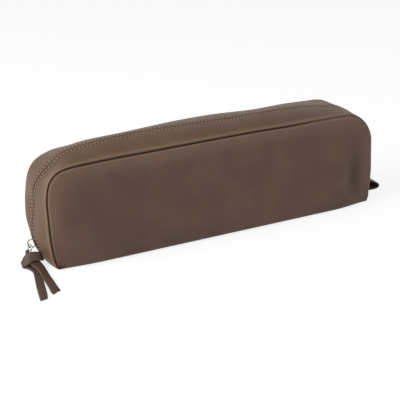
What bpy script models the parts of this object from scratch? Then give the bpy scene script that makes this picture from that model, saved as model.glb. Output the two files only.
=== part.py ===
"""A zipped leather pencil case.

One hide makes the front, the bottom and the back. A gusset in two halves runs round the ends and the top,
and its lips hide the zip. The slider carries a wire bail with a hitched strap, and a folded tab stands at
the zip's far end.

Metres, +Z up, +X along the case, the front faces -Y. The origin is under the middle of the bottom.
"""

import math

import bmesh
import bpy
from mathutils import Matrix, Vector

# Outline of the side seams
case_length = 0.210  # between the end seams where they stand widest
case_depth = 0.040  # between the front and the rear seam
case_height = 0.060  # to the top of the seams
corner_radius = 0.020
end_tuck = 0.0024  # how far the end seams draw in at the foot
end_tuck_height = 0.026
side_shares = (0.0, 0.06, 0.14, 0.24, 0.34, 0.5, 0.75)
corner_count = 7
top_count = 5

# Hide, board and lining
leather = 0.0012
board = 0.0006
lining = 0.0005
gap = 0.0003
fold_radius = 0.003  # where the hide turns under the front and the back
fold_count = 5
face_proud = 0.0014  # how far a face stands out from its seam
face_crown = 0.0009  # its further swell in the middle
edge_roll = 0.0032  # width of its rolled edge
roll_fade = 0.007  # height over which the roll dies out at the foot
roll_shares = (0.0, 0.08, 0.35, 1.0)
swell_shares = (0.35, 0.8)
base_shares = (0.002, 0.02, 0.25, 0.5, 0.75, 0.98, 0.998)
bottom_shares = (-1.0, -0.75, -0.45, 0.0, 0.45, 0.75, 1.0)
sheet_shares = (-1.0, -0.33, 0.33, 1.0)
swing_room = 0.0012  # kept free inside the seam for the opening front
end_gap = 0.0005

# Gusset: how far its middle stands out from the seams, from the foot of an end to the top
gusset_ridge = 0.0009  # its roll beside each seam
gusset_roll = 0.0018
bulge_foot = 0.0035
bulge_low = 0.0048
bulge_low_height = 0.016
bulge_shoulder = 0.0016  # where the rounded corner starts
bulge_corner = 0.0002  # inside the corner, where the gusset is drawn tight
bulge_top = 0.0058
corner_rise_shares = (0.45, 0.90)  # of the corner, between which the top's bulge grows
gusset_shares = (0.3, 0.5)
slit_width = 0.0014  # between the lips
lens_width = 0.0082  # where the lips part round the slider
lens_bottom = 0.0034
lens_top = 0.0160
lens_margin = 0.0012
lens_close_share = 0.33  # of the lens's height, over which the lips come together
patch_width = 0.0080

# Zip
tape_width = 0.0105
tape_thickness = 0.0004
coil_radius = 0.00075
coil_sides = 6
coil_depth = 0.0036  # of the coil's middle under the lips' face
coil_spread = 0.0021  # of each coil from the middle at the slider's nose
spread_share = 0.62  # of the slider's length, over which the coils come together
zip_foot = 0.0036  # height at which the zip starts and ends
stop_length = 0.0012

# Slider, at its place in the photograph
slider_height = 0.0105  # of its middle over the ground
slider_travel = 0.025
slider_length = 0.0084
slider_width = 0.0076
slider_plate = 0.0007
post_width = 0.0012
plate_outline_shares = ((-1.0, 0.72), (-0.75, 1.0), (-0.1, 1.0), (1.0, 0.72))
post_outline_shares = ((-0.95, 0.0), (-0.7, 1.0), (-0.15, 0.0))
wall_shares = ((-0.75, 1.0), (-0.1, 1.0), (0.55, 0.86))
crown_thickness = 0.0008
crown_length = 0.0056
crown_bar = 0.0008
bail_rise = 0.0026  # of the bail's axis over the lips' face
bail_wire = 0.0010
bail_length = 0.0046
bail_inner_width = 0.0040
bail_lean = math.radians(25)
bail_bend_count = 3
wire_sides = 8

# Strap and its hitch
strap_width = 0.0044
strap_thickness = 0.0012
strap_lift = 0.0002
neck_share = 0.66  # of the strap's width where the bail gathers it
knot_reach = 0.0048  # of the knot's middle from the lips' face
knot_front = 0.0100  # of the knot's middle in front of the zip
knot_lean_share = 0.25  # rise of the knot toward the case
settle_length = 0.016  # of the tails before they lie flat
long_tail = 0.0415
short_tail = 0.0363
long_splay = 0.0016
short_splay = 0.0015
tail_shares = (1.0, 0.75, 0.5, 0.3)
tip_slant_share = 0.75
leg_shares = (0.25, 0.5, 0.75)
leg_drop = 0.0032

# Tab at the far end
tab_reach = 0.0112
tab_width = 0.0110
tab_top = 0.0083
tab_bottom = 0.0014
tab_droop = 0.0022
tab_count = 9

# Places that follow those sizes
half_length = case_length / 2
half_depth = case_depth / 2
spine_height = case_height / 2
spine_half = half_length - spine_height
face_foot = fold_radius + gap
board_depth = leather + gap
lining_depth = board_depth + board + gap
gusset_lining_depth = leather + gap + tape_thickness + gap
tape_dip = slider_width / 2 + gap  # where the tape goes down to the coil, from the middle
layer = strap_thickness + gap


# Scene and materials

def clear_scene():
    for old in list(bpy.data.objects):
        bpy.data.objects.remove(old, do_unlink=True)


def finish_of(name, colour, roughness, metallic=0.0):
    material = bpy.data.materials.new(name)
    material.use_nodes = True
    shader = material.node_tree.nodes["Principled BSDF"]
    shader.inputs["Base Color"].default_value = (*colour, 1.0)
    shader.inputs["Roughness"].default_value = roughness
    shader.inputs["Metallic"].default_value = metallic
    return material


def solid_of(name, build, material, sharp=35):
    """An object from a closed bmesh, with its faces outward."""
    bmesh.ops.recalc_face_normals(build, faces=build.faces)
    mesh = bpy.data.meshes.new(name)
    build.to_mesh(mesh)
    build.free()
    mesh.shade_smooth()
    mesh.set_sharp_from_angle(angle=math.radians(sharp))
    if material:
        mesh.materials.append(material)
    solid = bpy.data.objects.new(name, mesh)
    bpy.context.scene.collection.objects.link(solid)
    return solid


def skin_rings(build, one, two, closed=True):
    count = len(one)
    for k in range(count if closed else count - 1):
        m = (k + 1) % count
        build.faces.new((one[k], one[m], two[m], two[k]))


def solid_between(name, outer, inner, material):
    """A closed solid from two facing grids of points."""
    build = bmesh.new()
    near, far = [[[build.verts.new(p) for p in row] for row in grid] for grid in (outer, inner)]
    for sheet in (near, far):
        for one, two in zip(sheet, sheet[1:]):
            skin_rings(build, one, two, closed=False)
    rims = []
    for sheet in (near, far):
        sides = [row[-1] for row in sheet[1:-1]]
        others = [row[0] for row in sheet[1:-1]]
        rims.append(sheet[0] + sides + sheet[-1][::-1] + others[::-1])
    skin_rings(build, rims[0], rims[1])
    return solid_of(name, build, material)


def solid_from_loops(name, outer, inner, material):
    """A dished sheet: loops of points from its edge to its middle, outside and inside."""
    build = bmesh.new()
    sheets = [[[build.verts.new(p) for p in loop] for loop in loops] for loops in (outer, inner)]
    for sheet in sheets:
        for one, two in zip(sheet, sheet[1:]):
            skin_rings(build, one, two)
        build.faces.new(sheet[-1])
    skin_rings(build, sheets[0][0], sheets[1][0])
    return solid_of(name, build, material)


def solid_along(name, rings, material, closed=False, sharp=35):
    """A tube through rings of points, with flat ends or joined to itself."""
    build = bmesh.new()
    rings = [[build.verts.new(p) for p in ring] for ring in rings]
    for one, two in zip(rings, rings[1:]):
        skin_rings(build, one, two)
    if closed:
        skin_rings(build, rings[-1], rings[0])
    else:
        build.faces.new(rings[0])
        build.faces.new(rings[-1])
    return solid_of(name, build, material, sharp)


def smooth_step(share):
    share = min(max(share, 0.0), 1.0)
    return share * share * (3 - 2 * share)


# Outline of the seams, seen from the front

def seam_half_width(z):
    """Half the case's length at a height below the rounded corners."""
    return half_length - end_tuck * max(0.0, 1 - z / end_tuck_height) ** 2


def half_outline(foot):
    """(x, z, outward x, outward z, share of the corner) from the left foot to the middle of the top."""
    stations = []
    shoulder = case_height - corner_radius
    for share in side_shares:
        z = foot + (shoulder - foot) * share
        stations.append((-seam_half_width(z), z, -1.0, 0.0, 0.0))
    for k in range(corner_count + 1):
        turn = math.pi / 2 * k / corner_count
        x = -half_length + corner_radius * (1 - math.cos(turn))
        z = shoulder + corner_radius * math.sin(turn)
        stations.append((x, z, -math.cos(turn), math.sin(turn), k / corner_count))
    for k in range(1, top_count + 1):
        x = -(half_length - corner_radius) * (1 - k / top_count)
        stations.append((x, case_height, 0.0, 1.0, 1.0))
    return stations


def arch(foot):
    left = half_outline(foot)
    right = [(-x, z, -nx, nz, turned) for x, z, nx, nz, turned in reversed(left[:-1])]
    return left + right


# Gusset: its surface, its two leather halves and their linings

def gusset_bulge(z, turned):
    """How far the middle of the gusset stands out at a station of the arch."""
    shoulder = case_height - corner_radius
    if turned > 0:
        start, end = corner_rise_shares
        drawn = bulge_shoulder + (bulge_corner - bulge_shoulder) * smooth_step(turned / start)
        grown = smooth_step((turned - start) / (end - start))
        return drawn + (bulge_top - bulge_corner) * grown
    if z < bulge_low_height:
        return bulge_foot + (bulge_low - bulge_foot) * smooth_step(z / bulge_low_height)
    share = (z - bulge_low_height) / (shoulder - bulge_low_height)
    return bulge_low + (bulge_shoulder - bulge_low) * smooth_step(share)


def gusset_rise(inward, bulge):
    """Height of the gusset's face over the seams' outline, at a distance inward from the seam."""
    dome = bulge * (1 - (1 - inward / half_depth) ** 2)
    roll = gusset_ridge * (1 - max(0.0, 1 - inward / gusset_roll) ** 2)
    return dome + roll


def gusset_point(side, station, inward, depth):
    x, z, nx, nz, turned = station
    rise = gusset_rise(inward, gusset_bulge(z, turned)) - depth
    return (x + nx * rise, side * (half_depth - inward), z + nz * rise)


def lip_inward(station):
    """Distance of a lip's edge from the seam: the lips part round the slider and the patch."""
    x, z, _, _, turned = station
    if x > 0 or turned > 0 or z > lens_top:
        return half_depth - slit_width / 2
    if z < lens_bottom:
        return half_depth - patch_width / 2 - gap
    share = (lens_top - z) / (lens_top - lens_bottom) / lens_close_share
    return half_depth - slit_width / 2 - (lens_width - slit_width) / 2 * smooth_step(share)


def gusset_foot(inward):
    """Height of the gusset's foot, which follows the hide's fold at the corner."""
    room = fold_radius - leather - gap
    aside = max(0.0, fold_radius - face_proud - inward)
    return fold_radius - math.sqrt(max(0.0, room ** 2 - aside ** 2))


def gusset(name, side, material):
    places = [0.0, gusset_roll / 3, gusset_roll * 2 / 3, gusset_roll]
    places += [half_depth * share for share in gusset_shares]
    places += [half_depth - lens_width / 2 - lens_margin, half_depth]
    grids = []
    for depth in (0.0, leather):
        grid = []
        for inward in places:
            stations = arch(gusset_foot(inward))
            grid.append([gusset_point(side, s, min(inward, lip_inward(s)), depth) for s in stations])
        grids.append(grid)
    return solid_between(name, grids[0], grids[1], material)


def gusset_lining(name, side, material):
    places = [gusset_roll + gap]
    places += [half_depth * share for share in gusset_shares]
    places += [half_depth - tape_dip - 2 * coil_radius - gap]
    stations = arch(lining_depth + lining + gap)
    grids = [[[gusset_point(side, s, inward, depth) for s in stations] for inward in places]
             for depth in (gusset_lining_depth, gusset_lining_depth + lining)]
    return solid_between(name, grids[0], grids[1], material)


# Zip: two tapes with their coils, spread apart at the slider, and the stops

def coil_offset(station):
    """Distance of a coil's middle from the zip's centre plane."""
    x, z, _, _, turned = station
    closed = coil_radius + gap / 2
    if x > 0 or turned > 0:
        return closed
    top = slider_height + slider_length / 2
    return closed + (coil_spread - closed) * smooth_step((top - z) / slider_length / spread_share)


def zip_tape(name, side, material):
    contact = leather + gap + tape_thickness / 2
    grids = []
    for half in (-tape_thickness / 2, tape_thickness / 2):
        grid = []
        for station in arch(zip_foot):
            edge = coil_offset(station) + coil_radius + gap
            places = ((tape_width, contact), (tape_dip + 2 * coil_radius, contact),
                      (tape_dip, coil_depth), (edge, coil_depth))
            grid.append([gusset_point(side, station, half_depth - away, depth + half)
                         for away, depth in places])
        grids.append(grid)
    return solid_between(name, grids[0], grids[1], material)


def ring_about(centre, across, up, radius, count):
    turns = [2 * math.pi * (k + 0.5) / count for k in range(count)]
    return [centre + (across * math.cos(q) + up * math.sin(q)) * radius for q in turns]


def zip_coil(name, side, material):
    """The coil's outer shape, along the edge of its tape."""
    across = Vector((0.0, 1.0, 0.0))
    rings = []
    for station in arch(zip_foot + stop_length + gap):
        centre = Vector(gusset_point(side, station, half_depth - coil_offset(station), coil_depth))
        rings.append(ring_about(centre, across, Vector((station[2], 0.0, station[3])), coil_radius, coil_sides))
    return solid_along(name, rings, material)


def zip_stop(name, sign, low, high, material):
    """A clamp on the end of the coils, between two distances from the centre plane."""
    rings = []
    for z in (zip_foot, zip_foot + stop_length):
        stations = arch(z)
        station = stations[0] if sign < 0 else stations[-1]
        corners = ((low, -coil_radius), (high, -coil_radius), (high, coil_radius), (low, coil_radius))
        x_mid, _, z_mid = gusset_point(1, station, half_depth, coil_depth)
        rings.append([(x_mid + sign * out, y, z_mid) for y, out in corners])
    return solid_along(name, rings, material)


# Faces: the hide's front and back with their boards and linings

def face_loop(side, inset, rise, edge_height, height, share=0.0):
    """Points round a face: inside its edge and over its foot, then a share of the way to its spine."""
    foot = face_foot + rise
    points = []
    for x, z, nx, nz, _ in arch(foot):
        points.append((x - nx * inset, z - nz * inset, edge_height(z)))
    left, right = points[0][0], points[-1][0]
    points += [(right + (left - right) * base_share, foot, height) for base_share in base_shares]
    swell = face_crown * (1 - (1 - share) ** 2)
    loop = []
    for x, z, out in points:
        spine_x = min(max(x, -spine_half), spine_half)
        y = half_depth + out + swell
        loop.append((x + (spine_x - x) * share, side * y, z + (spine_height - z) * share))
    return loop


def rolled_height(share, z):
    """Height of the face over the seam, at a share of its rolled edge."""
    if share == 0:
        return gap
    drop = 1 - math.sqrt(1 - (1 - share) ** 2)
    return gap + (face_proud - gap) * (1 - drop * smooth_step((z - face_foot) / roll_fade))


def face_panel(name, side, material):
    under = face_proud - leather
    outer = [face_loop(side, edge_roll * share, edge_roll * share,
                       lambda z, share=share: rolled_height(share, z), face_proud) for share in roll_shares]
    inner = [face_loop(side, leather + (edge_roll - leather) * share, edge_roll * share,
                       lambda z, share=share: gap + (under - gap) * share, under) for share in (0.0, 1.0)]
    for loops, height in ((outer, face_proud), (inner, under)):
        loops += [face_loop(side, edge_roll, edge_roll, lambda z, height=height: height, height, share)
                  for share in swell_shares]
    return solid_from_loops(name, outer, inner, material)


def face_sheet(name, side, depth, thickness, material):
    """A flat layer behind a face, clear of its rolled edge."""
    inset = edge_roll + gap
    sheets = []
    for height in (face_proud - depth, face_proud - depth - thickness):
        sheets.append([face_loop(side, inset, inset, lambda z, height=height: height, height, share)
                       for share in (0.0, *swell_shares)])
    return solid_from_loops(name, sheets[0], sheets[1], material)


# Bottom: the hide with both folds, its board and its lining

def outer_end(y, z):
    """Half the bottom's length, flush with the gusset's face."""
    return seam_half_width(z) + gusset_rise(max(0.0, half_depth - abs(y)), bulge_foot)


def inner_end(y, z):
    """Half the bottom's length between the gusset's ends."""
    inward = max(0.0, half_depth - abs(y) - swing_room)
    return seam_half_width(z) + gusset_rise(inward, bulge_foot) - leather - end_gap


def bottom_sheet(name, profile, thickness, end_of, material):
    """A sheet through rows (y, z, turn of the row's thickness away from upright)."""
    outer, inner = [], []
    for y, z, turn in profile:
        end = end_of(y, z)
        top_y, top_z = y + math.sin(turn) * thickness, z + math.cos(turn) * thickness
        outer.append([(end * share, y, z) for share in sheet_shares])
        inner.append([(end * share, top_y, top_z) for share in sheet_shares])
    return solid_between(name, outer, inner, material)


def bottom_panel(material):
    flat = half_depth + face_proud - fold_radius
    turns = [math.pi / 2 * (1 - k / fold_count) for k in range(fold_count)]
    front = [(-flat - fold_radius * math.sin(turn), fold_radius * (1 - math.cos(turn)), turn) for turn in turns]
    middle = [(flat * share, 0.0, 0.0) for share in bottom_shares]
    rear = [(-y, z, -turn) for y, z, turn in reversed(front)]
    return bottom_sheet("bottom_panel", front + middle + rear, leather, outer_end, material)


def bottom_layer(name, low, thickness, material):
    flat = half_depth - fold_radius
    profile = [(flat * share, low, 0.0) for share in bottom_shares]
    return bottom_sheet(name, profile, thickness, inner_end, material)


# Slider, modelled round its middle: x along its travel, y across, z away from the case

def lip_crest(height):
    station = (-seam_half_width(height), height, -1.0, 0.0, 0.0)
    return Vector(gusset_point(1, station, half_depth, 0.0))


def zip_centre():
    """Centre of the arc that the slider follows, through three points of the lips' crest."""
    low, middle, high = [lip_crest(slider_height + slider_travel * share) for share in (0.0, 0.5, 1.0)]
    a, b = middle - low, high - low
    twice = 2 * (a.x * b.z - a.z * b.x)
    x = (b.z * a.length_squared - a.z * b.length_squared) / twice
    z = (a.x * b.length_squared - b.x * a.length_squared) / twice
    return low + Vector((x, 0.0, z))


def slider_frame():
    """The slider's middle on the lips' face, its travel and the direction away from the case."""
    origin = lip_crest(slider_height)
    outward = (origin - zip_centre()).normalized()
    return origin, Vector((outward.z, 0.0, -outward.x)), outward


def prism(name, outline, low, high, material=None):
    """An outline of (x, y) points between two heights; without a material it is a guide for a union."""
    rings = [[(x, y, z) for x, y in outline] for z in (low, high)]
    solid = solid_along(name, rings, material)
    if not material:
        solid.hide_render = True
        solid.display_type = "WIRE"
    return solid


def both_sides(half_points):
    """A closed outline from its points on one side."""
    return [(x, -y) for x, y in half_points] + [(x, y) for x, y in reversed(half_points) if y]


def slider_body(material):
    """Two plates joined by the nose post, with side walls that leave the tapes' slots, and the crown."""
    half = slider_length / 2
    wide = slider_width / 2
    room = coil_radius + gap
    top, sole = room - coil_depth, -room - coil_depth
    plate_outline = both_sides([(half * a, wide * b) for a, b in plate_outline_shares])
    body = prism("slider_body", plate_outline, top, top + slider_plate, material)
    guides = [prism("sole_plate_guide", plate_outline, sole - slider_plate, sole)]
    post_outline = [(half * a, post_width / 2 * b) for a, b in post_outline_shares]
    guides.append(prism("post_guide", both_sides(post_outline), sole - slider_plate / 2, top + slider_plate / 2))
    slot = tape_thickness / 2 + gap
    for word, side in (("front", -1), ("rear", 1)):
        outside = [(half * a, side * wide * b) for a, b in wall_shares]
        inside = [(half * a, side * (wide - slider_plate) * b) for a, b in reversed(wall_shares)]
        guides.append(prism(f"{word}_sole_wall_guide", outside + inside, sole - slider_plate / 2,
                            -coil_depth - slot))
        guides.append(prism(f"{word}_top_wall_guide", outside + inside, slot - coil_depth,
                            top + slider_plate / 2))
    thin = crown_thickness / 2
    crown = crown_length / 2
    arch_top = bail_rise + bail_wire / 2 + gap
    for word, start, end, low, high in (
        ("nose_leg", -crown, crown_bar - crown, top + slider_plate / 2, arch_top + crown_bar / 2),
        ("tail_leg", crown - crown_bar, crown, top + slider_plate / 2, arch_top + crown_bar / 2),
        ("bridge", -crown, crown, arch_top, arch_top + crown_bar),
    ):
        guides.append(prism(f"{word}_guide", both_sides([(start, thin), (end, thin)]), low, high))
    for guide in guides:
        union = body.modifiers.new(guide.name, "BOOLEAN")
        union.operation = "UNION"
        union.object = guide
    origin, travel, outward = slider_frame()
    across = outward.cross(travel)
    turn = Matrix((travel, across, outward)).transposed().to_4x4()
    for solid in [body, *guides]:
        solid.matrix_world = Matrix.Translation(origin) @ turn
    return body


# Bail: a wire rectangle with round corners, from the crown down to the strap

def bail_places():
    """Middle of the bail's upper bar and of its lower bar."""
    origin, travel, outward = slider_frame()
    seat = crown_length / 2 - crown_bar - gap - bail_wire / 2
    upper = origin + outward * bail_rise - travel * seat
    lower = upper + Vector((-math.sin(bail_lean), 0.0, -math.cos(bail_lean))) * bail_length
    return upper, lower


def pull_bail(material):
    upper, lower = bail_places()
    down = (lower - upper).normalized()
    across = Vector((0.0, 1.0, 0.0))
    bend = bail_wire
    half = bail_inner_width / 2 + bail_wire / 2
    centres = []
    for corner, (sign_y, sign_d) in enumerate(((1, 1), (-1, 1), (-1, -1), (1, -1))):
        for k in range(bail_bend_count + 1):
            turn = math.pi / 2 * (corner + k / bail_bend_count)
            y = sign_y * (half - bend) + bend * math.cos(turn)
            d = bail_length / 2 + sign_d * (bail_length / 2 - bend) + bend * math.sin(turn)
            centres.append(upper + across * y + down * d)
    away = across.cross(down)
    rings = []
    for k, centre in enumerate(centres):
        along = (centres[(k + 1) % len(centres)] - centres[k - 1]).normalized()
        rings.append(ring_about(centre, along.cross(away), away, bail_wire / 2, wire_sides))
    return solid_along("pull_bail", rings, material, closed=True, sharp=60)


# Strap: one strip through the bail, laid over its own long tail and round under it

def bezier(points, share):
    while len(points) > 1:
        points = [one.lerp(two, share) for one, two in zip(points, points[1:])]
    return points[0]


def strap_stations():
    """(place, direction across the strip, share of its width) from tip to tip.

    Places are (away from the case, forward, up) from the ground under the middle of the knot.
    """
    bar = knot_from_world(bail_places()[1])
    first = strap_thickness / 2 + strap_lift
    second, third = first + layer, first + 2 * layer
    bend = strap_width / 2 + gap
    lane = strap_width / 2 + gap
    over = bail_wire / 2 + gap + strap_thickness / 2
    out, ahead = Vector((1.0, 0.0, 0.0)), Vector((0.0, 1.0, 0.0))
    stations = []

    def add(x, y, z, across, share=1.0):
        stations.append((Vector((x, y, z)), across.normalized(), share))

    def add_leg(points, start, end, start_share, end_share):
        for share in leg_shares:
            place = bezier([Vector(p) for p in points], share)
            width_share = start_share + (end_share - start_share) * smooth_step(share)
            add(*place, start.lerp(end, smooth_step(share)), width_share)

    # The long tail, from its tip to under the bridge
    for share in tail_shares:
        add(lane + long_splay * share ** 2, long_tail * share, first, out - ahead * long_splay / long_tail)
    add(lane, bend * 2, first + layer / 2, out)
    add(lane, bend, second, out)
    add(lane, -bend, second, out)
    # Up to the bail, over its lower bar and down again
    add_leg([(lane, -bend, second), (lane, -2 * bend, second), (bar.x + over, bar.y, bar.z - leg_drop),
             (bar.x + over, bar.y, bar.z)], out, ahead, 1.0, neck_share)
    for k in range(5):
        turn = math.pi * k / 4
        add(bar.x + over * math.cos(turn), bar.y, bar.z + over * math.sin(turn), ahead, neck_share)
    add_leg([(bar.x - over, bar.y, bar.z), (bar.x - over, bar.y, bar.z - leg_drop), (-lane, -2 * bend, third),
             (-lane, -bend, third)], ahead, -out, neck_share, 1.0)
    # The turn into the bridge, across the tail, and down round its far side
    for k in range(4):
        turn = math.pi / 2 * k / 3
        add(bend * (1 - math.cos(turn)) - lane, -bend * (1 - math.sin(turn)), third,
            ahead * math.sin(turn) - out * math.cos(turn))
    edge = lane + strap_width / 2 + gap
    for k in range(5):
        turn = math.pi * (0.5 - k / 4)
        add(edge + layer * math.cos(turn), 0.0, second + layer * math.sin(turn), ahead)
    # Back under it and out as the short tail
    for k in range(4):
        turn = math.pi / 2 * (1 - k / 3)
        add(bend * (1 - math.cos(turn)) - lane, bend * (1 - math.sin(turn)), first,
            ahead * math.sin(turn) + out * math.cos(turn))
    for share in reversed(tail_shares):
        slant = tip_slant_share if share == 1 else 0.0
        add(-lane - short_splay * share ** 2, short_tail * share, first, out + ahead * slant,
            math.hypot(1.0, slant))
    return stations


def knot_place():
    return slider_frame()[0].x - knot_reach


def knot_from_world(place):
    return Vector((knot_place() - place.x, -knot_front - place.y, place.z))


def knot_to_world(place):
    """The knot leans on the case's side, and its tails settle on the ground."""
    calm = strap_width / 2
    if place.y < 0:
        lean = smooth_step((knot_front + place.y) / (knot_front - calm))
    else:
        lean = smooth_step((settle_length - place.y) / (settle_length - calm))
    far_side = strap_width + 2 * gap + layer + strap_thickness / 2
    rise = knot_lean_share * (far_side - place.x) * lean
    return Vector((knot_place() - place.x, -knot_front - place.y, place.z + rise))


def leather_strap(material):
    stations = strap_stations()
    rings = []
    for k, (place, across, share) in enumerate(stations):
        before = stations[max(k - 1, 0)][0]
        after = stations[min(k + 1, len(stations) - 1)][0]
        along = (after - before).normalized()
        if before != place and after != place:
            across = (across - along * across.dot(along)).normalized()
        wide = across * strap_width * share / 2
        thick = along.cross(across).normalized() * strap_thickness / 2
        corners = (place - wide - thick, place + wide - thick, place + wide + thick, place - wide + thick)
        rings.append([knot_to_world(corner) for corner in corners])
    return solid_along("leather_strap", rings, material)


# Tab at the zip's far end and the patch under the slider

def end_face(height, away=0.0):
    """Where the gusset's face stands at an end, at a height and a distance from the middle."""
    return seam_half_width(height) + gusset_rise(half_depth - away, gusset_bulge(height, 0.0))


def end_tab(material):
    """A strip folded into a loop, both ends sewn under the zip's end."""
    middle, half = (tab_top + tab_bottom) / 2, (tab_top - tab_bottom) / 2
    grids = []
    for depth in (0.0, leather):
        grid = []
        for k in range(tab_count):
            turn = math.pi * (0.5 - k / (tab_count - 1))
            reach = (tab_reach - depth) * math.cos(turn)
            z = middle - tab_droop * reach / tab_reach + (half - depth) * math.sin(turn)
            x = end_face(z) + gap + reach
            grid.append([(x, y, z) for y in (-tab_width / 2, tab_width / 2)])
        grids.append(grid)
    return solid_between("end_tab", grids[0], grids[1], material)


def zip_end_patch(material):
    """The piece that closes the lips below the slider."""
    ends = [patch_width / 2 * share for share in sheet_shares]
    grids = [[[(depth - end_face(z, abs(y)), y, z) for y in ends] for z in (leather + gap, lens_bottom - gap)]
             for depth in (0.0, leather)]
    return solid_between("zip_end_patch", grids[0], grids[1], material)


# Joint axes

def pivot(name, place, carried, parent=None):
    """An empty on a joint's axis, which carries the pieces that move."""
    empty = bpy.data.objects.new(name, None)
    bpy.context.scene.collection.objects.link(empty)
    empty.matrix_world = Matrix.Translation(place)
    pieces = list(carried)
    if parent:
        empty.parent = parent
        empty.matrix_parent_inverse = parent.matrix_world.inverted()
    for piece in pieces:
        for solid in [piece, *[m.object for m in piece.modifiers if m.type == "BOOLEAN"]]:
            solid.parent = empty
            solid.matrix_parent_inverse = empty.matrix_world.inverted()
    return empty


clear_scene()
brown = finish_of("Full-grain calf leather", (0.105, 0.068, 0.050), 0.62)
fibre_board = finish_of("Bonded leather board", (0.23, 0.17, 0.12), 0.85)
cotton = finish_of("Cotton lining", (0.16, 0.12, 0.09), 0.9)
tape_cloth = finish_of("Woven polyester tape", (0.06, 0.04, 0.03), 0.85)
nylon = finish_of("Nylon coil", (0.05, 0.035, 0.028), 0.45)
nickel = finish_of("Nickel-plated zinc", (0.72, 0.71, 0.69), 0.25, 1.0)

halves = {}
for word, side in (("front", -1), ("rear", 1)):
    halves[word] = [
        face_panel(f"{word}_panel", side, brown),
        face_sheet(f"{word}_board", side, board_depth, board, fibre_board),
        face_sheet(f"{word}_lining", side, lining_depth, lining, cotton),
        gusset(f"{word}_gusset", side, brown),
        gusset_lining(f"{word}_gusset_lining", side, cotton),
        zip_tape(f"{word}_zip_tape", side, tape_cloth),
        zip_coil(f"{word}_zip_coil", side, nylon),
    ]

bottom_panel(brown)
bottom_layer("bottom_board", board_depth, board, fibre_board)
bottom_layer("bottom_lining", lining_depth, lining, cotton)
zip_stop("front_top_stop", -1, -coil_spread - coil_radius, coil_radius - coil_spread, nickel)
zip_stop("rear_top_stop", -1, coil_spread - coil_radius, coil_spread + coil_radius, nickel)
zip_stop("bottom_stop", 1, -2 * coil_radius, 2 * coil_radius, nickel)
zip_end_patch(brown)
end_tab(brown)

upper_bar, lower_bar = bail_places()
pivot("mouth_axis", (0.0, leather / 2 - half_depth - face_proud, fold_radius), halves["front"])
track = pivot("slider_track", zip_centre(), [slider_body(nickel)])
bail_axis = pivot("bail_axis", upper_bar, [pull_bail(nickel)], track)
pivot("strap_axis", lower_bar, [leather_strap(brown)], bail_axis)
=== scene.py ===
import math

import bmesh
import bpy
from mathutils import Matrix, Vector, noise


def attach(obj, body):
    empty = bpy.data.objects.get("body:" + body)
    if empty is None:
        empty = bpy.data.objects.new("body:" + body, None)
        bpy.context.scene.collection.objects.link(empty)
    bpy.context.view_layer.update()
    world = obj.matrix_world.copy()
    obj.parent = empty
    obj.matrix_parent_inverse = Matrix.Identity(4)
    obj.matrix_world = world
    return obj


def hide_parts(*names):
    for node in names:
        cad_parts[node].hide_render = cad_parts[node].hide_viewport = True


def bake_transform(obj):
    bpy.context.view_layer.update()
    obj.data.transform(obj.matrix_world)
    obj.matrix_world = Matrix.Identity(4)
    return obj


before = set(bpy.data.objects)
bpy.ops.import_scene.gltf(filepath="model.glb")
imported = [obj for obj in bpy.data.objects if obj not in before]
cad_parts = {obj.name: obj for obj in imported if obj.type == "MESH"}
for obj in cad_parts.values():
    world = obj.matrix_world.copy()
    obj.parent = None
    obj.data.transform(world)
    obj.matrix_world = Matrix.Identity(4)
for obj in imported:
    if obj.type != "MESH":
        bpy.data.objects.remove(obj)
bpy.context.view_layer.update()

print("Frame loaded:", len(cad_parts), "nodes")

# What the pieces share. Metres, and the case stands with its front towards -Y.
caseSizes = {
    "length": 0.210,
    "depth": 0.040,
    "height": 0.060,
    "cornerRadius": 0.020,
    "endTuck": 0.0024,
    "endTuckHeight": 0.026,
    "leather": 0.0012,
    "board": 0.0006,
    "lining": 0.0005,
    "gap": 0.0003,
    "foldRadius": 0.003,
    "faceProud": 0.0014,
    "zipFoot": 0.0036,
    "endInset": 0.0012,  # the inner sheets' ends follow the gusset's form this much nearer to the seam
    "endGap": 0.0005,
    "hiddenShade": 0.6,  # painted shade on the leather's inner side
    "sideSteps": 26,
    "cornerSteps": 22,
    "topSteps": 44,
}
halfLength = caseSizes["length"] / 2
halfDepth = caseSizes["depth"] / 2
shoulder = caseSizes["height"] - caseSizes["cornerRadius"]
leather = caseSizes["leather"]
gap = caseSizes["gap"]
foldRadius = caseSizes["foldRadius"]
faceProud = caseSizes["faceProud"]
faceFoot = foldRadius + gap
spineHeight = caseSizes["height"] / 2
spineHalf = halfLength - spineHeight
boardDepth = leather + gap
liningDepth = boardDepth + caseSizes["board"] + gap


# Small helpers for numbers and meshes

def smoothStep(share):
    share = min(max(share, 0.0), 1.0)
    return share * share * (3 - 2 * share)


def mix(one, two, share):
    return one + (two - one) * share


def grown(value, start, run):
    # 0 up to start, and 1 after the run
    return smoothStep((value - start) / run)


def hump(offset, half):
    # 1 in the middle, and 0 from half on
    return max(0.0, 1 - (offset / half) ** 2) ** 2


def softSection(count, acrossPower, upPower):
    # (across, up) shares of a rectangle with soft corners
    section = []
    for k in range(count):
        turn = 2 * math.pi * (k + 0.5) / count
        c, s = math.cos(turn), math.sin(turn)
        section.append((math.copysign(abs(c) ** acrossPower, c), math.copysign(abs(s) ** upPower, s)))
    return section


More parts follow.
